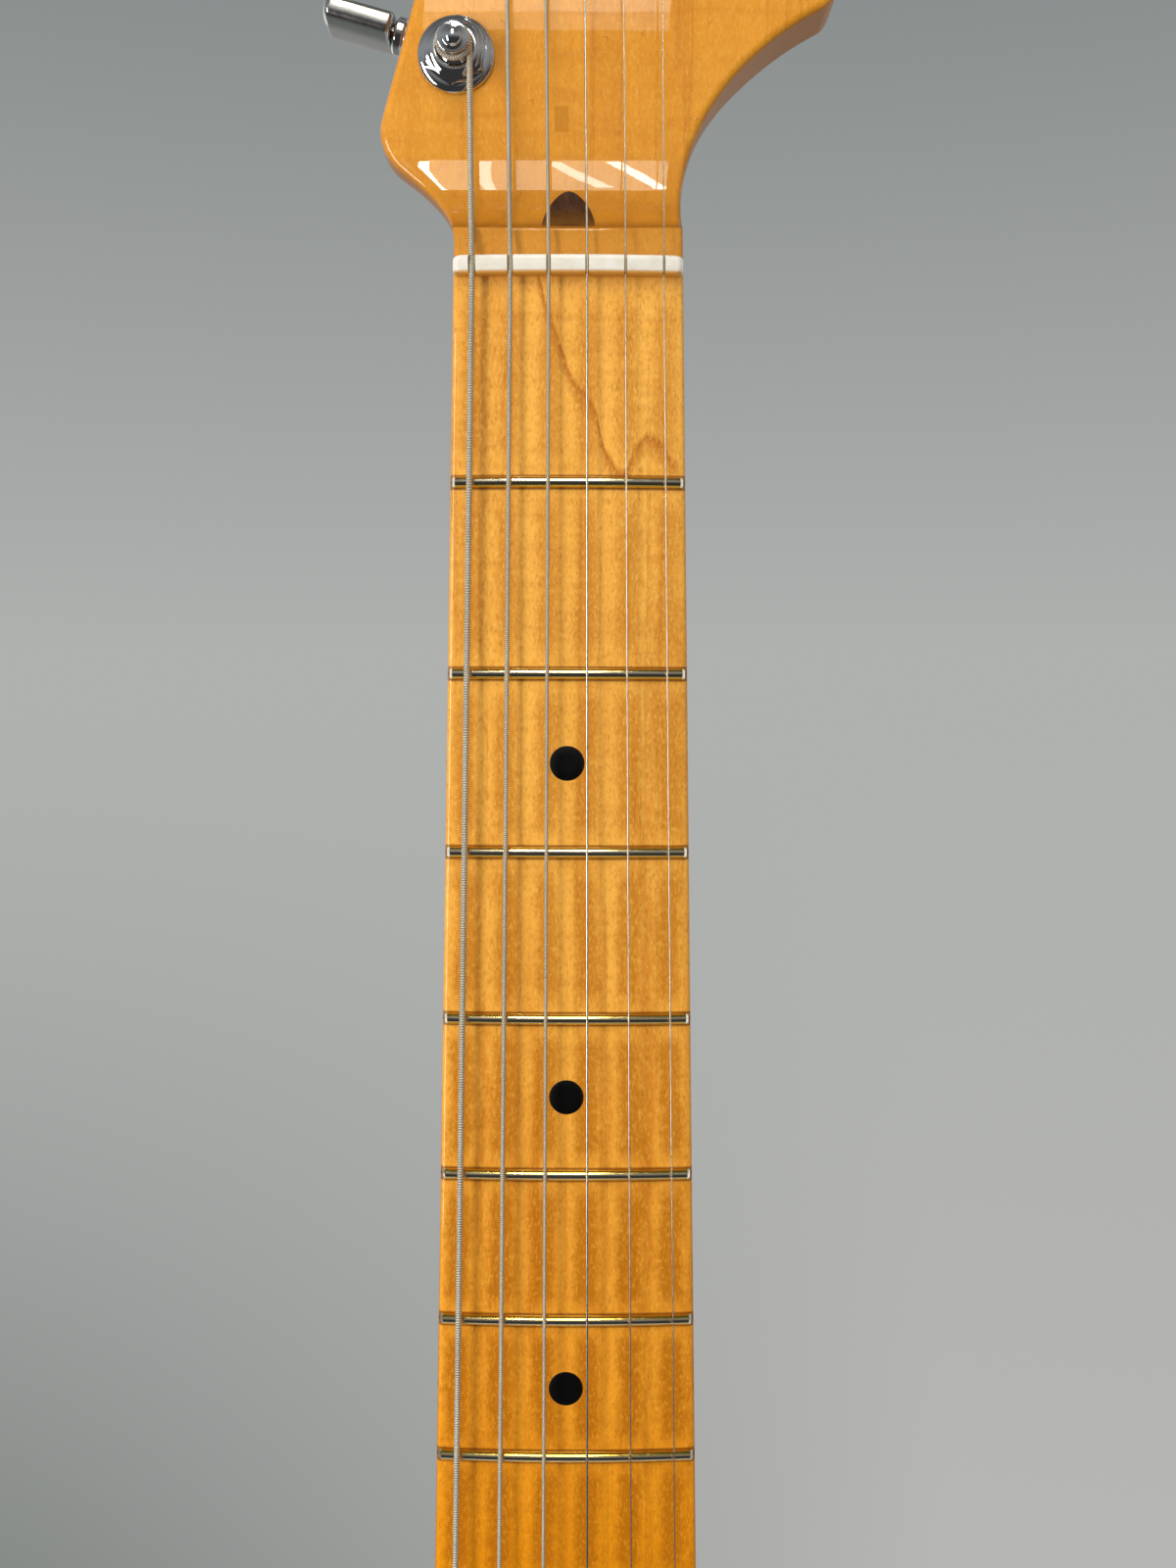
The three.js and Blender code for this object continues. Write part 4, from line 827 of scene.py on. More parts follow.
def make_neck():
    """The shaft and the headstock in one skin, with softened edges."""
    points, faces, join = shaft_skin()
    neck = make_piece("maple_neck", joined((points, faces), headstock_skin(join)), MAPLE, "neck")
    cut(neck, heel_holes())
    modifier(neck, "BEVEL", width=EDGE_BREAK * MM, segments=3, limit_method="ANGLE",
             angle_limit=math.radians(40), harden_normals=False, miter_outer="MITER_ARC")
    modifier(neck, "WEIGHTED_NORMAL", keep_sharp=True, weight=75)


def surface_patch(name, rows, replaced):
    """A thin closed piece of walnut laid on the wood: rows of (point, outward direction)."""
    top = [point + outward * PROUD for row in rows for point, outward in row]
    under = [point - outward * PATCH_DEPTH for row in rows for point, outward in row]
    count, width, below = len(rows), len(rows[0]), len(top)
    faces = []
    for a in (r * width + i for r in range(count - 1) for i in range(width - 1)):
        b = a + below
        faces += [(a, a + 1, a + 1 + width, a + width), (b, b + width, b + 1 + width, b + 1)]
    rim = list(range(width)) + [r * width + width - 1 for r in range(1, count)]
    rim += [(count - 1) * width + i for i in reversed(range(width - 1))]
    rim += [r * width for r in reversed(range(1, count - 1))]
    faces += [(a, b, b + below, a + below) for a, b in zip(rim, rim[1:] + rim[:1])]
    make_piece(name, (top + under, faces), WALNUT, replaced, split=50)


PLUG_RADIUS = 4.8
PLUG_DEPTH = 4.5
PLUG_FLAT_DEPTH = 2.2
PLUG_TOP_RISE = 0.9
PLUG_TIP_HALF = 0.01
PLUG_TAPER = 1.8
PLUG_FULLNESS = 0.6


def make_plug():
    """The walnut plug behind the nut, cut by the hollow that falls to the face of the headstock."""
    start = cove_z(CROWN_Y + PLUG_FLAT_DEPTH)
    end = cove_z(CROWN_Y + PLUG_DEPTH + PLUG_RADIUS) + PLUG_TOP_RISE
    rows = []
    for share in shares(28):
        z = mix(start, end, share)
        half = PLUG_RADIUS * (1 - share ** PLUG_TAPER) ** PLUG_FULLNESS + PLUG_TIP_HALF
        tilt = math.asin((COVE_END - z) / COVE_RADIUS)
        outward = Vector((0, -math.cos(tilt), math.sin(tilt)))
        rows.append([(Vector((mix(-half, half, s), cove_y(z), z)), outward) for s in shares(16)])
    surface_patch("walnut_plug", rows, "headstock_plug")


STRIPE_HALF_WIDTH = 3.16
CHANNEL_START = PAD_END + 14
CHANNEL_END = Z_NUT - 24


def section_back_y(back, x):
    """Y of the back at a distance from the centre line, from the points of a section."""
    if x <= back[0][0]:
        return back[0][1]
    after = next(i for i, point in enumerate(back) if point[0] >= x)
    (ax, ay), (bx, by) = back[after - 1], back[after]
    return mix(ay, by, (x - ax) / (bx - ax))


def make_stripe():
    """The walnut strip along the back, with round ends."""
    round_end = STRIPE_HALF_WIDTH
    places = [CHANNEL_START + round_end * (1 - c) for _, c in arc(8)][1:]
    places += [mix(CHANNEL_START + round_end, CHANNEL_END - round_end, s) for s in shares(60)][1:-1]
    places += [CHANNEL_END - round_end * (1 - s) for s, _ in arc(8)][:-1]
    rows = []
    for z in places:
        back = side_points(1, z)[1][ROUND_STEPS:][::-1]
        reach = min(z - CHANNEL_START, CHANNEL_END - z, round_end)
        half = math.sqrt(STRIPE_HALF_WIDTH ** 2 - (round_end - reach) ** 2)
        across = [mix(-half, half, s) for s in shares(12)]
        rows.append([(Vector((x, section_back_y(back, abs(x)), z)), ALONG_Y) for x in across])
    surface_patch("walnut_stripe", rows, "skunk_stripe")


# Frets and dots

FRET_WIDTH = 2.1
FRET_HEIGHT = 1.1
FRET_END_INSET = 0.45
FRET_END_BEVEL = 0.75
FRET_END_ROUND = 0.5
FRET_END_SHARE = 0.8
TANG_WIDTH = 0.55
TANG_DEPTH = 1.6
SEAT_GAP = 0.06
FILLED_DEPTH = 1.2
INLAY_DEPTH = 0.4
DOT_RADIUS = 3.175
DOT_BEVEL = 0.05
DOT_MIDDLE_RADIUS = 1.6
DOT_CENTRE_RADIUS = 0.2
DOT_12_ASIDE = 12.5
DOT_PLACES = {"dot_03": (3, 0), "dot_05": (5, 0), "dot_07": (7, 0), "dot_09": (9, 0),
              "dot_12_bass": (12, -DOT_12_ASIDE), "dot_12_treble": (12, DOT_12_ASIDE),
              "dot_15": (15, 0), "dot_17": (17, 0), "dot_19": (19, 0)}
SIDE_DOT_RADIUS = 1.0
SIDE_DOT_DEPTH = 0.6
SIDE_DOT_DROP = 0.9
SIDE_DOT_SPREAD = 3.0


def make_fret(number):
    """A bar bent over the crowned board, with a rounded top and bevelled, rounded ends."""
    z = fret_z(number)
    end = half_width(z) - FRET_END_INSET
    tang = TANG_WIDTH / 2
    section = [(-FRET_WIDTH / 2 * c, FRET_HEIGHT * s) for s, c in arc(14, math.pi)]
    section += [(tang, 0), (tang, -TANG_DEPTH), (-tang, -TANG_DEPTH), (-tang, 0)]
    round_places = [-end + FRET_END_ROUND * (1 - c) for _, c in arc(4)]
    places = [mix(-end + FRET_END_ROUND, end - FRET_END_ROUND, share) for share in shares(18)][1:-1]
    rings = []
    for x in round_places + places + [-x for x in reversed(round_places)]:
        leaning = 1 - min(end - abs(x), FRET_END_ROUND) / FRET_END_ROUND
        shrink = mix(FRET_END_SHARE, 1, math.sqrt(max(1 - leaning ** 2, 0)))
        seat = board_y(min(abs(x), end)) - SEAT_GAP
        rings.append([
            Vector((x - math.copysign(FRET_END_BEVEL * max(height, 0) * leaning, x),
                    seat - height * (shrink if height > 0 else 1), z + across * shrink))
            for across, height in section])
    make_piece(f"fret_wire_{number:02d}", loft(rings), NICKEL, f"fret_{number:02d}", split=50)


def make_slot_ends():
    """The filled ends of the fret slots, in the sides of the board."""
    parts = []
    half = TANG_WIDTH / 2
    for z in (fret_z(number) for number in range(1, FRET_COUNT + 1)):
        for side in (-1, 1):
            run = side_points(side, z)[1][2:ROUND_STEPS]
            edge, top = run[-1]
            parts.append(loft([
                [Vector((side * (x + out), y, z + aside))
                 for out, aside in ((PROUD, -half), (PROUD, half), (-OVERLAP, half), (-OVERLAP, -half))]
                for x, y in run + [(edge, top + FILLED_DEPTH)]]))
    make_piece("fret_slot_ends", joined(*parts), FILLER, flat=True)


def dot_z(fret):
    return (fret_z(fret - 1) + fret_z(fret)) / 2


def make_dot(dot, fret, aside):
    """An inlaid disc that follows the crown of the board."""
    rings = []
    for radius, drop in [(DOT_RADIUS, INLAY_DEPTH), (DOT_RADIUS, 0), (DOT_RADIUS - DOT_BEVEL, -PROUD),
                         (DOT_MIDDLE_RADIUS, -PROUD), (DOT_CENTRE_RADIUS, -PROUD)]:
        ring = [(aside + radius * c, dot_z(fret) + radius * s) for c, s in circle(48)]
        rings.append([Vector((x, board_y(x) + drop, z)) for x, z in ring])
    make_piece(f"inlay_{dot}", loft(rings), INLAY, dot)


def make_side_dots():
    """Small position dots in the bass side of the board, for the player's eye."""
    radius, depth = SIDE_DOT_RADIUS, SIDE_DOT_DEPTH
    profile = [(0, -depth), (radius, -depth), (radius, PROUD), (0, PROUD)]
    parts = []
    for fret, aside in DOT_PLACES.values():
        z = dot_z(fret) + aside / DOT_12_ASIDE * SIDE_DOT_SPREAD
        y = side_points(-1, z)[1][ROUND_STEPS - 1][1] + SIDE_DOT_DROP
        parts.append(lathe(profile, 24, Vector((-half_width(z), y, z)), -ALONG_X, ALONG_Z))
    make_piece("side_dots", joined(*parts), INLAY, flat=True)


# Strings, from the low one to the high one

STRING_DIAMETERS = [1.07, 0.81, 0.61, 0.41, 0.28, 0.23]
STRING_WINDINGS = [0.46, 0.34, 0.24, 0, 0, 0]
STRING_SIDES = 12
WRAP_TURNS = [1.5, 1.5, 1.5, 2, 2, 2]
WRAP_STEPS = 44
FIRST_FRET_CLEARANCE = 0.6
ACTION_AT_FRET_12 = 1.8
WRAP_SPACING = 0.45
WRAP_TO_POST = 0.15
FIRST_WRAP_HEIGHT = 4.9
POST_WAIST_RADIUS = 2.1
SHARE_BEFORE_NUT = 0.003
SHARE_PAST_NUT = 0.02
BALL_PAST_HEEL = 12.0
BALL_RADIUS = 1.9
BALL_WAIST_RADIUS = 1.482
BALL_WIDTH = 3.2
BALL_EDGE = 0.2
BALL_BORE_GAP = 0.1
STRING_LOOKS = [string_material(f"string_look_{i}", pitch) for i, pitch in enumerate(STRING_WINDINGS)]


def string_point(string, z):
    """The string's axis over the board, a straight line from the nut set by the action at fret 12."""
    radius = STRING_DIAMETERS[string] / 2
    at_nut = board_y(string_x(string, Z_NUT)) - FRET_HEIGHT - FIRST_FRET_CLEARANCE - radius
    twelfth = fret_z(OCTAVE_FRETS)
    at_12 = board_y(string_x(string, twelfth)) - FRET_HEIGHT - ACTION_AT_FRET_12 - radius
    return Vector((string_x(string, z), mix(at_nut, at_12, (Z_NUT - z) / (Z_NUT - twelfth)), z))


def wrap_point(string, turns):
    """The string's axis round its post, some turns after it touches the post."""
    post, start = post_place(string), string_point(string, Z_NUT)
    radius = POST_WAIST_RADIUS + WRAP_TO_POST + STRING_DIAMETERS[string] / 2
    reach = math.hypot(start.x - post.x, start.z - post.z)
    touch = math.atan2(start.z - post.z, start.x - post.x) + math.acos(radius / reach)
    angle = touch + turns * TURN
    height = FIRST_WRAP_HEIGHT + turns * (STRING_DIAMETERS[string] + WRAP_SPACING)
    return Vector((post.x + radius * math.cos(angle), FACE_Y - height, post.z + radius * math.sin(angle)))


def string_path(string):
    """Points from the ball to the nut, on to the post, round it and a little way off it."""
    start, nut = string_point(string, HEEL_END - BALL_PAST_HEEL), string_point(string, Z_NUT)
    touch = wrap_point(string, 0)
    turns = WRAP_TURNS[string]
    path = [start.lerp(nut, share) for share in shares(24)][:-1]
    path += [nut.lerp(start, SHARE_BEFORE_NUT), nut.lerp(touch, SHARE_PAST_NUT)]
    path += [nut.lerp(touch, share) for share in shares(6)][1:-1]
    path += [wrap_point(string, share * turns) for share in shares(int(turns * WRAP_STEPS))]
    return path + [path[-1] + (path[-1] - path[-2]).normalized() * STRING_DIAMETERS[string]]


def tube(path, radius):
    """Rings square to a path, and each point's length along it."""
    aside, length, rings, lengths = ALONG_X, 0, [], []
    for i, point in enumerate(path):
        heading = (path[min(i + 1, len(path) - 1)] - path[max(i - 1, 0)]).normalized()
        aside = (aside - heading * aside.dot(heading)).normalized()
        up = heading.cross(aside)
        length += (point - path[i - 1]).length if i else 0
        lengths.append(length)
        rings.append([point + (aside * c + up * s) * radius for c, s in circle(STRING_SIDES)])
    return rings, lengths


def make_string(string):
    """The string, with its length in a UV map from which the material winds it, and its ball."""
    number = TUNER_COUNT - string
    radius = STRING_DIAMETERS[string] / 2
    rings, lengths = tube(string_path(string), radius)
    wire = new_object(f"string_wire_{number}", *loft(rings), STRING_LOOKS[string])
    layer = wire.data.uv_layers.new(name="along")
    for polygon in wire.data.polygons:
        polygon.use_smooth = True
        for corner, vertex in zip(polygon.loop_indices, polygon.vertices):
            ring, side = divmod(vertex, STRING_SIDES)
            layer.data[corner].uv = (lengths[ring] * MM, side / STRING_SIDES)
    declare(wire, "neck", f"string_{number}")
    half, bore = BALL_WIDTH / 2, radius + BALL_BORE_GAP
    rim = [(bore, half), (BALL_RADIUS - BALL_EDGE, half), (BALL_RADIUS, half - BALL_EDGE)]
    profile = [(r, -h) for r, h in rim] + [(BALL_WAIST_RADIUS, 0)] + rim[::-1] + [(bore, -half)]
    end = string_point(string, HEEL_END - BALL_PAST_HEEL)
    make_piece(f"string_ball_{number}", lathe(profile, 28, end, ALONG_X, ALONG_Y), STEEL, split=40)


# The nut

NUT_THICKNESS = 3.4
NUT_HEIGHT = 2.7
NUT_SLOT_DEPTH = 3.0
NUT_END_ROUND = 1.2
NUT_EDGE_ROUND = 0.45
NUT_CORNER_ROUND = 0.9
NUT_END_INSET = 0.15
NUT_ROUND_FADE = 3.0
PULL_START = 4.0
PULL_END = 1.0
BRIM_START = 0.3
BRIM_END = 1.0
WOOD_GAP = 0.04
SLOT_CLEARANCE = 0.12


def nut_outline(z):
    """The nut's outline across the neck at one place along it, with its six grooves."""
    half = half_width(Z_NUT) - NUT_END_INSET
    inner = half - NUT_END_ROUND
    corner_y = board_y(inner) - NUT_HEIGHT + NUT_END_ROUND
    corner = [(inner + NUT_END_ROUND * c, corner_y - NUT_END_ROUND * s) for s, c in arc(8)]
    top = []
    for string in range(TUNER_COUNT):
        nut, touch = string_point(string, Z_NUT), wrap_point(string, 0)
        centre = nut.lerp(touch, (z - nut.z) / (touch.z - nut.z))
        radius = STRING_DIAMETERS[string] / 2 + SLOT_CLEARANCE
        brim = board_y(centre.x) - NUT_HEIGHT
        wall = [(radius, brim), (radius, mix(brim, centre.y, 0.5))]
        top += [(centre.x - r, y) for r, y in wall]
        top += [(centre.x - radius * c, centre.y + radius * s) for s, c in arc(8, math.pi)]
        top += [(centre.x + r, y) for r, y in reversed(wall)]
        if string + 1 < TUNER_COUNT:
            start, end = centre.x + radius + BRIM_START, string_x(string + 1, Z_NUT) - BRIM_END
            brims = [mix(start, end, share) for share in shares(5)[1:-1]]
            top += [(x, board_y(x) - NUT_HEIGHT) for x in brims]
    bottom = CROWN_Y + NUT_SLOT_DEPTH - WOOD_GAP
    return [(-half, bottom)] + [(-x, y) for x, y in corner] + top + corner[::-1] + [(half, bottom)]


def make_nut():
    """The bone nut, with its top edges and its corners drawn in to rounds."""
    near, far = Z_NUT + WOOD_GAP, Z_NUT + NUT_THICKNESS - WOOD_GAP
    half = half_width(Z_NUT)
    levels = [(near + NUT_CORNER_ROUND * (1 - c), 1 - s) for s, c in arc(6)]
    levels += [(far - NUT_CORNER_ROUND * (1 - c), 1 - s) for s, c in reversed(arc(6))]
    rings = []
    for z, drawn in levels:
        ring = []
        for x, y in nut_outline(z):
            upper = min(max((CROWN_Y + NUT_SLOT_DEPTH / 2 - y) / NUT_ROUND_FADE, 0), 1)
            pull = NUT_CORNER_ROUND * drawn * smooth(abs(x), half - PULL_START, half - PULL_END)
            ring.append((x - math.copysign(pull, x), y + NUT_EDGE_ROUND * drawn * upper, z))
        rings.append(ring)
    make_piece("bone_nut", loft(rings), BONE, "nut", split=32)


# Tuners

HARDWARE_GAP = 0.1
FLANGE_RADIUS = 7.15
FLANGE_TOP = HARDWARE_GAP + 1.2
FLANGE_ROUND = 1.7
FLANGE_EDGE = 0.25
HEX_SIDES = 6
HEX_STEPS = 10
HEX_CORNER_RADIUS = 6.2
HEX_TURN = math.radians(24)
HEX_TOP = FLANGE_TOP + 2.2
HEX_FACE_RADIUS = 5.1
HEX_CONE_SLOPE = 0.62
HEX_FACE_STEP = 0.15
HEX_FACE_RISE = 0.03
DOME_RISE = 0.55
DOME_RUN = 1.3
DOME_ROUND = 0.35
DOME_INNER_RADIUS = 3.65
DOME_SINK = 0.2
BORE_DEPTH = 2.0
POST_BORE_RADIUS = 3.3
POST_STEM_RADIUS = 3.0
POST_SHOULDER_HEIGHT = 3.2
POST_HOLLOW_START = 3.45
POST_WAIST_START = 4.3
POST_WAIST_END = 7.5
POST_RIM_RADIUS = 2.85
POST_RIM_HEIGHT = 8.5
POST_RIM_ROUND = 0.2
POST_RIM_START = 8.0
POST_TIP_RADIUS = 1.75
POST_TIP_SEAT_RADIUS = 1.87
POST_TIP_HEIGHT = 9.7
POST_BOTTOM = -18.9
HOUSING_HEIGHT = 11.4
HOUSING_INWARD = 9.0
HOUSING_OUTWARD = EDGE_TO_POST - 0.6
HOUSING_NUTWARD = 9.0
HOUSING_TIPWARD = 12.3
HOUSING_CORNER = 4.0
HOUSING_LEAST_CORNER = 0.4
HOUSING_EDGE = 1.6
HOUSING_FOOT = 0.25
CAP_RADIUS = 6.0
CAP_RISE = 0.15
CAP_ROUND = 0.3
CAP_SINK = -0.05
DISH_RADIUS = 4.7
DISH_ROUND = 0.2
DISH_FLAT_RADIUS = 4.2
WORM_OFFSET = 7.8
WORM_HEIGHT = 6.6
BOSS_RADIUS = 3.3
BOSS_REACH = 14.1
BOSS_OVERLAP = 2.5
COLLAR_RADIUS = 3.7
COLLAR_LENGTH = 2.1
COLLAR_INNER_ROUND = 0.5
COLLAR_OUTER_ROUND = 0.6
SHAFT_RADIUS = 1.7
SHAFT_GAP = 0.3
SHAFT_DEPTH = 20.0
BUTTON_START = BOSS_REACH + COLLAR_LENGTH + SHAFT_GAP
BUTTON_LENGTH = 13.4
BUTTON_BREADTH = 13.0
BUTTON_THICKNESS = 5.7
BUTTON_EDGE = 1.3
BUTTON_INNER_EDGE_SHARE = 0.55
BUTTON_FULLNESS = 3.2
BUTTON_END_FULLNESS = 2.6


def round_post(profile, sides, tuner):
    """A lathe round a post's axis, with heights above the face of the headstock."""
    return lathe(profile, sides, post_place(tuner) + ALONG_Y * FACE_Y, -ALONG_Y, ALONG_X)


def hex_nut(tuner):
    """A hexagon whose top is turned down to a round face by a cone, so that its corners end in arcs."""
    sector = TURN / HEX_SIDES
    columns = []
    for i in range(HEX_SIDES * HEX_STEPS):
        angle = HEX_TURN + i / HEX_STEPS * sector
        off = i % HEX_STEPS / HEX_STEPS * sector - sector / 2
        radius = HEX_CORNER_RADIUS * math.cos(sector / 2) / math.cos(off)
        shoulder = HEX_TOP - (radius - HEX_FACE_RADIUS) * HEX_CONE_SLOPE
        spoke = Vector((math.cos(angle), 0, math.sin(angle)))
        columns.append([
            post_place(tuner) + spoke * r + ALONG_Y * (FACE_Y - height)
            for r, height in ((radius, FLANGE_TOP - OVERLAP), (radius, shoulder), (HEX_FACE_RADIUS, HEX_TOP),
                              (HEX_FACE_RADIUS - HEX_FACE_STEP, HEX_TOP + HEX_FACE_RISE),
                              (POST_BORE_RADIUS, HEX_TOP + HEX_FACE_RISE))])
    return loft(list(zip(*columns)), capped=False)


def make_bushing(tuner):
    """The flanged hexagonal bushing on the face of the headstock, with its domed face."""
    edge = HARDWARE_GAP + FLANGE_EDGE
    bore = POST_BORE_RADIUS
    flange = [(bore, HARDWARE_GAP), (FLANGE_RADIUS - SMALL_EDGE, HARDWARE_GAP),
              (FLANGE_RADIUS, HARDWARE_GAP + SMALL_EDGE)]
    flange += [(FLANGE_RADIUS - FLANGE_ROUND * (1 - c), mix(edge, FLANGE_TOP, s)) for s, c in arc(12)]
    flange.append((bore, FLANGE_TOP))
    dome = [(HEX_FACE_RADIUS, HEX_TOP - DOME_SINK)]
    dome += [(HEX_FACE_RADIUS - DOME_RUN * share, HEX_TOP + DOME_RISE * s)
             for share, (s, _) in zip(shares(8), arc(8))]
    dome += rounded(DOME_INNER_RADIUS, HEX_TOP + DOME_RISE - DOME_ROUND, DOME_ROUND, 1, 2)
    dome += [(bore, HEX_TOP - BORE_DEPTH), (bore, HEX_TOP - BORE_DEPTH - DOME_SINK)]
    skin = joined(round_post(flange, 96, tuner), hex_nut(tuner), round_post(dome, 72, tuner))
    make_piece(f"bushing_{TUNER_COUNT - tuner}", skin, CHROME, split=26)


def housing_outline(inset):
    """A housing's outline, outward and tipward from its post, drawn in by a distance."""
    corner = max(HOUSING_CORNER - inset, HOUSING_LEAST_CORNER)
    inner = inset + corner
    left, right = inner - HOUSING_INWARD, HOUSING_OUTWARD - inner
    low, high = inner - HOUSING_NUTWARD, HOUSING_TIPWARD - inner
    centres = [(right, low), (right, high), (left, high), (left, low)]
    return [point for k, centre in enumerate(centres) for point in rounded(*centre, corner, k - 1, k, 6)]


def make_housing(tuner):
    """The closed gear housing on the back, with a round cap over the gear and a collar for the shaft."""
    edge, height = HOUSING_EDGE, HOUSING_HEIGHT
    levels = [(HOUSING_FOOT, HARDWARE_GAP), (0, HARDWARE_GAP + HOUSING_FOOT)]
    levels += [(edge * (1 - c), height - edge * (1 - s)) for s, c in arc(6)]
    box = loft([[along_edge(tuner, out, tip, y) for out, tip in housing_outline(inset)]
                for inset, y in levels])
    cap = [(CAP_RADIUS + SMALL_EDGE, CAP_SINK)]
    cap += rounded(CAP_RADIUS - CAP_ROUND, CAP_RISE - CAP_ROUND, CAP_ROUND, 0, 1, 3)
    cap += rounded(DISH_RADIUS, CAP_RISE, DISH_ROUND, 0, -1, 3)
    cap += [(DISH_FLAT_RADIUS, CAP_SINK), (0, CAP_SINK)]
    cap_skin = lathe(cap, 64, post_place(tuner) + ALONG_Y * height, ALONG_Y, ALONG_X)
    start, end, bore = HOUSING_OUTWARD - BOSS_OVERLAP, BOSS_REACH + COLLAR_LENGTH, SHAFT_RADIUS + SHAFT_GAP
    inner, outer = COLLAR_INNER_ROUND, COLLAR_OUTER_ROUND
    boss = [(BOSS_RADIUS, start), (BOSS_RADIUS, BOSS_REACH - OVERLAP)]
    boss += rounded(COLLAR_RADIUS - inner, BOSS_REACH + inner, inner, -1, 0)
    boss += rounded(COLLAR_RADIUS - outer, end - outer, outer, 0, 1) + [(bore, end), (bore, start)]
    boss_skin = lathe(boss, 48, along_edge(tuner, 0, WORM_OFFSET, WORM_HEIGHT), OUTWARD, ALONG_Y)
    number = TUNER_COUNT - tuner
    piece = make_piece(f"gear_housing_{number}", joined(box, cap_skin, boss_skin), CHROME,
                       f"tuner_housing_{number}", split=40)
    modifier(piece, "WEIGHTED_NORMAL", keep_sharp=True)


def make_post(tuner):
    """The string post: stem, hollow waist, dark-edged rim and a ball on top."""
    rim, edge = POST_RIM_RADIUS - POST_RIM_ROUND, POST_RIM_HEIGHT - POST_RIM_ROUND
    dome = POST_TIP_HEIGHT - POST_RIM_HEIGHT - SMALL_EDGE
    profile = [(0, POST_BOTTOM), (POST_STEM_RADIUS, POST_BOTTOM), (POST_STEM_RADIUS, POST_SHOULDER_HEIGHT)]
    profile += [(mix(POST_STEM_RADIUS, POST_WAIST_RADIUS, s), mix(POST_HOLLOW_START, POST_WAIST_START, share))
                for share, (s, _) in zip(shares(6), arc(6))]
    profile += [(mix(POST_WAIST_RADIUS, POST_RIM_RADIUS, 1 - c), mix(POST_WAIST_END, POST_RIM_START, share))
                for share, (_, c) in zip(shares(7), arc(7))]
    profile += rounded(rim, edge, POST_RIM_ROUND, 0, 1, 4) + [(POST_TIP_SEAT_RADIUS, POST_RIM_HEIGHT)]
    profile += [(POST_TIP_RADIUS * c, POST_TIP_HEIGHT - dome * (1 - s)) for s, c in arc(9)][:-1]
    profile.append((0, POST_TIP_HEIGHT))
    number = TUNER_COUNT - tuner
    make_piece(f"string_post_{number}", round_post(profile, 64, tuner), CHROME, f"tuner_post_{number}",
               f"post_{number}", split=40)


def oval(thick, broad, fullness):
    """A rounded outline that gets squarer as its fullness rises above 2."""
    power = 2 / fullness
    return [(thick * math.copysign(abs(c) ** power, c), broad * math.copysign(abs(s) ** power, s))
            for c, s in circle(72)]


def button_section(inset):
    fullness = mix(BUTTON_FULLNESS, BUTTON_END_FULLNESS, inset / BUTTON_EDGE)
    return oval(BUTTON_THICKNESS / 2 - inset, BUTTON_BREADTH / 2 - inset, fullness)


def make_button(tuner):
    """The satin button on its shaft, its two ends rounded."""
    end, small = BUTTON_START + BUTTON_LENGTH, BUTTON_INNER_EDGE_SHARE
    edge = [(BUTTON_EDGE * (1 - s), BUTTON_EDGE * (1 - c)) for s, c in arc(7)]
    shaft = oval(SHAFT_RADIUS, SHAFT_RADIUS, 2)
    sections = [(BUTTON_START - SHAFT_DEPTH, shaft), (BUTTON_START, shaft)]
    sections += [(BUTTON_START + rise * small, button_section(inset * small)) for inset, rise in edge]
    sections += [(end - rise, button_section(inset)) for inset, rise in reversed(edge)]
    rings = [[along_edge(tuner, outward, WORM_OFFSET + tip, WORM_HEIGHT + y) for tip, y in outline]
             for outward, outline in sections]
    name = f"button_{TUNER_COUNT - tuner}"
    piece = make_piece(name, loft(rings), SATIN, f"tuner_{name}", name, split=60)
    modifier(piece, "WEIGHTED_NORMAL", keep_sharp=True)


TRUSS_NUT_RADIUS = 4.0
TRUSS_NUT_EDGE = 0.3
TRUSS_NUT_INNER_RADIUS = 2.8
TRUSS_NUT_INNER_DEPTH = 8.9
CROSS_WIDTH = 1.3
CROSS_LENGTH = 5.6
CROSS_DEPTH = 2.6


def make_truss_nut():
    """The adjusting nut in the heel's end, with a cross slot."""
    start, end = HEEL_END + TRUSS_NUT_INSET, HEEL_END + TRUSS_NUT_INSET + TRUSS_NUT_LENGTH
    edge, inner, floor = TRUSS_NUT_EDGE, TRUSS_NUT_INNER_RADIUS, end - TRUSS_NUT_INNER_DEPTH
    profile = [(0, start)] + rounded(TRUSS_NUT_RADIUS - edge, start + edge, edge, -1, 0, 4)
    profile += [(TRUSS_NUT_RADIUS, end), (inner, end), (inner, floor), (0, floor)]
    nut = make_piece("cross_slot_nut", lathe(profile, 64, Vector((0, ROD_Y, 0)), ALONG_Z, ALONG_X), STEEL,
                     "truss_nut", "truss_nut")
    for wide, tall in ((CROSS_WIDTH, CROSS_LENGTH), (CROSS_LENGTH, CROSS_WIDTH)):
        corners = [(x * wide / 2, ROD_Y + y * tall / 2) for x, y in ((-1, -1), (1, -1), (1, 1), (-1, 1))]
        cut(nut, loft([[(x, y, z) for x, y in corners] for z in (start - CUT_OVERRUN, start + CROSS_DEPTH)]))
    modifier(nut, "EDGE_SPLIT", split_angle=math.radians(35))


def make_object():
    for make in (make_neck, make_plug, make_stripe, make_slot_ends, make_side_dots, make_nut):
        make()
    for number in range(1, FRET_COUNT + 1):
        make_fret(number)
    for dot, (fret, aside) in DOT_PLACES.items():
        make_dot(dot, fret, aside)
    for tuner in range(TUNER_COUNT):
        for make in (make_bushing, make_housing, make_post, make_button, make_string):
            make(tuner)
    make_truss_nut()
    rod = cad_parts["truss_rod"]
    rod.data.materials.clear()
    rod.data.materials.append(STEEL)


# Camera, light and surroundings

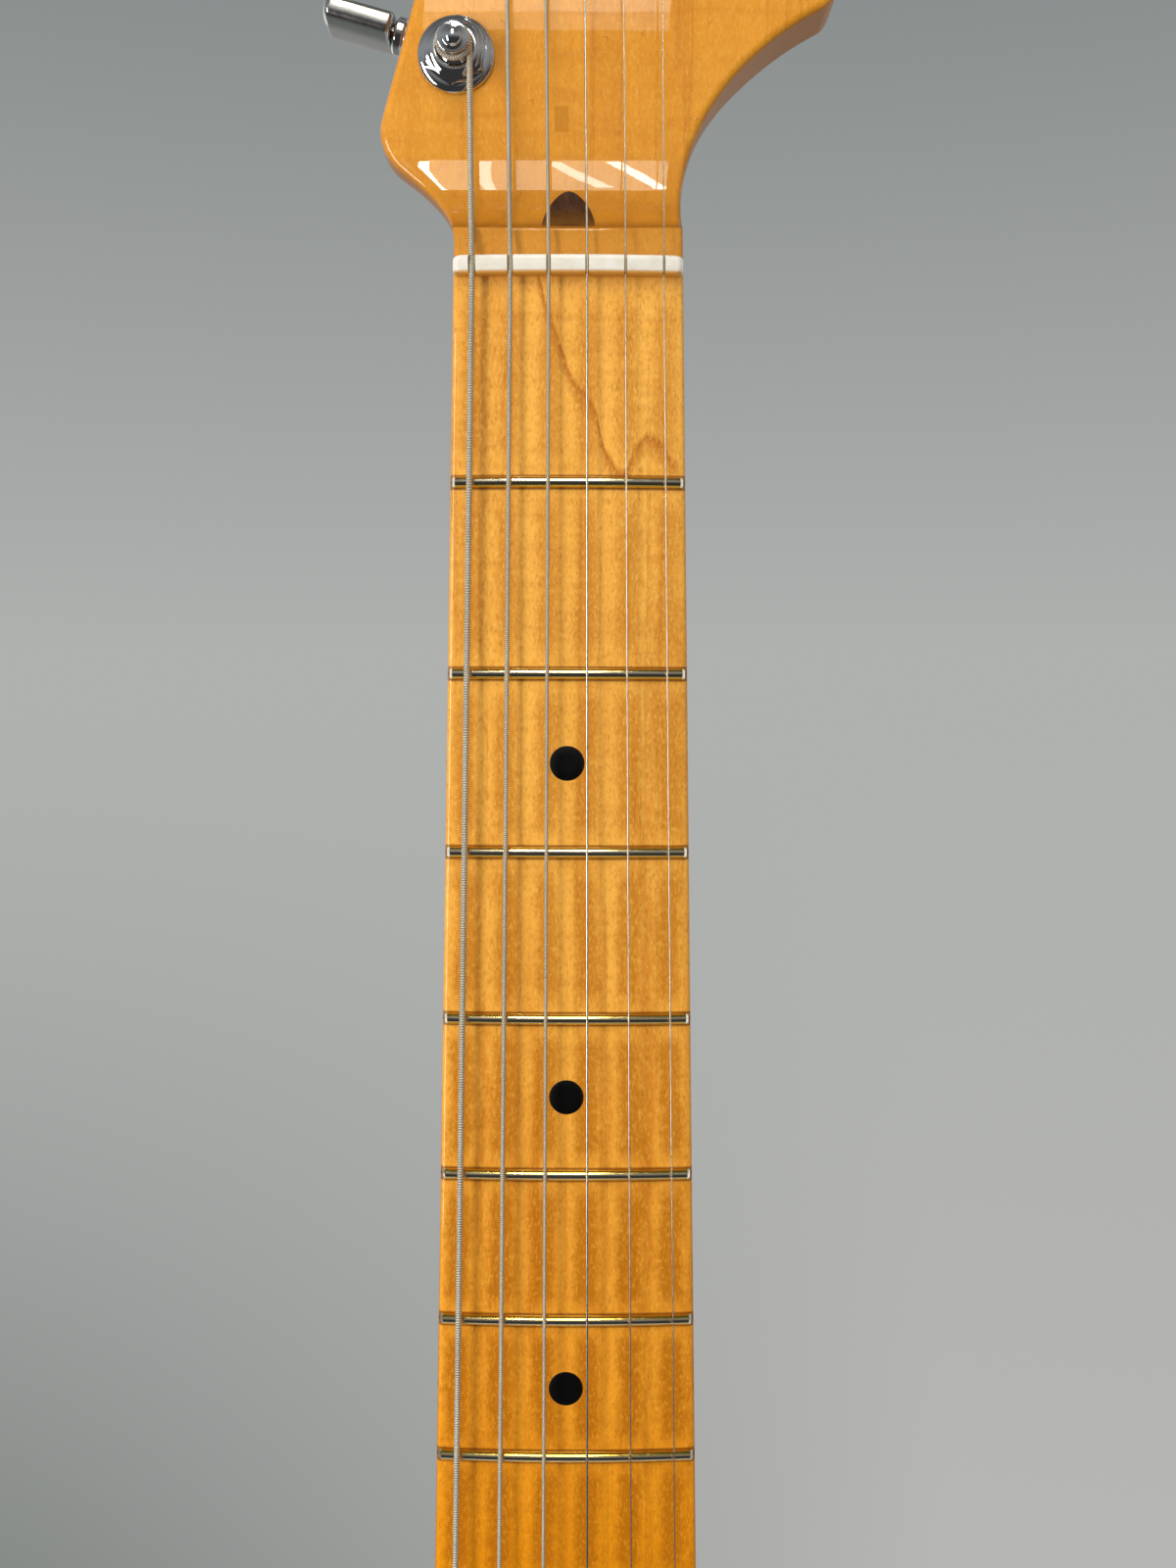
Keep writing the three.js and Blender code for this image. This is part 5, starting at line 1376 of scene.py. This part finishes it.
LENS = 37.125
CAMERA_PLACE = Vector((3.8, -318.2, 350.2))
CAMERA_TILT = math.radians(-3.025)
CAMERA_ROLL = math.radians(0.159)
FLOOR_RADIUS = 240.0
FLOOR_Z = HEEL_END - BALL_PAST_HEEL - BALL_RADIUS - 0.5
BACKDROP = srgb(175, 177, 175)
BACKDROP_HIGH = srgb(134, 139, 139)
BACKDROP_LOW = srgb(122, 127, 124)
BACKDROP_ASIDE = srgb(183, 183, 181)
FRONT_LOW = srgb(58, 56, 56)
FRONT_MIDDLE = srgb(146, 148, 149)
FRONT_HIGH = srgb(86, 86, 88)
FILL_LOW = (0.3, 0.305, 0.31, 1)
FILL_HIGH = (0.66, 0.665, 0.68, 1)
WINDOW_TINT = (1.0, 0.93, 0.72)
BAR_TINT = (1.0, 0.98, 0.95)

# The window mirrored in the hollow: heights in degrees and X at its two ends, width, radiance and tint
WINDOW_DISTANCE = 1050.0
HOLLOW = Vector((0, CROWN_Y + 4, Z_NUT + 20))
WINDOWS = {
    "window": ((24.2, 62), (-30, -30), 190, 5.3, WINDOW_TINT),
    "window_sill": ((23.5, 24.2), (-30, -30), 190, 2.4, WINDOW_TINT),
    "window_bar_left": ((25.3, 62), (-127, -114), 9, 28.0, BAR_TINT),
    "window_bar_side": ((25.3, 62), (-79, -75), 9, 11.0, BAR_TINT),
    "window_bar_middle": ((25.6, 58), (-26, 16), 14, 12.0, BAR_TINT),
    "window_bar_right": ((25.3, 60), (22, 62), 12, 22.0, BAR_TINT),
    "window_low": ((21, 50), (-192, -192), 50, 1.25, BAR_TINT),
}

# Lamps: place, the height on the neck that they face, width and length, and radiance
LAMPS = {
    "left_strip": ((-740, -680, 290), 280, (220, 700), 12.0),
    "left_back": ((-700, 600, 500), 380, (640, 1000), 0.74),
    "right_back": ((700, 640, 420), 380, (640, 1000), 0.6),
}


def make_camera():
    data = bpy.data.cameras.new("camera")
    data.lens = LENS
    data.sensor_width = 36.0
    data.clip_start = 0.01
    data.clip_end = 20
    camera = linked("camera", data)
    turn = Matrix.Rotation(QUARTER + CAMERA_TILT, 4, "X") @ Matrix.Rotation(CAMERA_ROLL, 4, "Z")
    camera.matrix_world = Matrix.Translation(CAMERA_PLACE * MM) @ turn
    bpy.context.scene.camera = camera


def make_world():
    """A plain level for diffuse light. The camera sees the pale backdrop, and gloss sees it too, with a dim
    room in front of the object that gets lighter upward."""
    world = bpy.data.worlds.new("studio")
    bpy.context.scene.world = world
    world.use_nodes = True
    tree = world.node_tree
    camera, glossy, through = (node(tree, "ShaderNodeLightPath", output=f"Is {ray} Ray")
                               for ray in ("Camera", "Glossy", "Transmission"))
    x, y, z = node(tree, "ShaderNodeTexCoord", output="Generated").parts()
    low = blended(x.ranged(0.2, -0.35), BACKDROP_ASIDE, BACKDROP_LOW)
    backdrop = blended(z.ranged(0.03, 0.42), BACKDROP, BACKDROP_HIGH)
    backdrop = blended(z.ranged(0, -0.5).math("POWER", 1.7), backdrop, low)
    rising = blended(z.ranged(-0.1, 0.35), FRONT_LOW, FRONT_MIDDLE)
    room = blended(z.ranged(0.45, 0.85), rising, FRONT_HIGH)
    mirrored = glossy.math("MAXIMUM", through)
    shown = blended(y.ranged(0.3, -0.3) * mirrored, backdrop, room)
    level = blended(z.ranged(-0.7, 0.7), FILL_LOW, FILL_HIGH)
    background = tree.nodes["Background"].inputs
    fill(background["Color"], blended(camera.math("MAXIMUM", mirrored), level, shown))
    fill(background["Strength"], 1.0)


def make_floor():
    """A pale round floor under the heel, too small to reach the photograph's view."""
    material, tree = new_material("floor")
    place = node(tree, "ShaderNodeTexCoord", output="Object")
    away = node(tree, "ShaderNodeVectorMath", {0: place}, "Value", operation="LENGTH")
    speck = noise(tree, (40, 40, 40))
    pale = blended(speck.ranged(0.3, 0.7), srgb(200, 202, 202), srgb(206, 207, 206))
    rim = away.ranged(FLOOR_RADIUS * MM * 0.3, FLOOR_RADIUS * MM)
    dressed(material, {"Base Color": painted(pale, (rim, 176, 179, 178)), "Roughness": 0.8})
    ring = [(FLOOR_RADIUS * c, FLOOR_RADIUS * s, FLOOR_Z) for c, s in circle(96)]
    new_object("floor", ring, [tuple(range(len(ring)))], material)


def place_lamp(name, place, turn, size, radiance, tint=(1, 1, 1)):
    """A rectangular lamp, of a size in millimetres, whose face has a radiance."""
    data = bpy.data.lights.new(name, "AREA")
    data.color = tint
    data.shape = "RECTANGLE"
    data.size, data.size_y = size[0] * MM, size[1] * MM
    data.energy = radiance * math.pi * data.size * data.size_y
    linked(name, data).matrix_world = Matrix.Translation(Vector(place) * MM) @ turn


def make_window(name, heights, sides, width, radiance, tint):
    """A lamp that stands square to the hollow behind the nut, between two heights."""
    low, high = (Vector((x, HOLLOW.y - WINDOW_DISTANCE * math.cos(math.radians(angle)),
                         HOLLOW.z + WINDOW_DISTANCE * math.sin(math.radians(angle))))
                 for angle, x in zip(heights, sides))
    along = (high - low).normalized()
    middle = (low + high) / 2
    away = (middle - Vector((middle.x, HOLLOW.y, HOLLOW.z))).normalized()
    across = along.cross(away).normalized()
    turn = Matrix((across, along, across.cross(along).normalized())).transposed().to_4x4()
    place_lamp(name, middle, turn, (width, (high - low).length), radiance, tint)


def make_studio():
    bpy.context.scene.view_settings.view_transform = "Standard"
    make_camera()
    make_world()
    make_floor()
    for name, window in WINDOWS.items():
        make_window(name, *window)
    for name, (place, height, size, radiance) in LAMPS.items():
        aim = Vector((0, CROWN_Y, height)) - Vector(place)
        place_lamp(name, place, aim.to_track_quat("-Z", "Y").to_matrix().to_4x4(), size, radiance)


make_object()
make_studio()
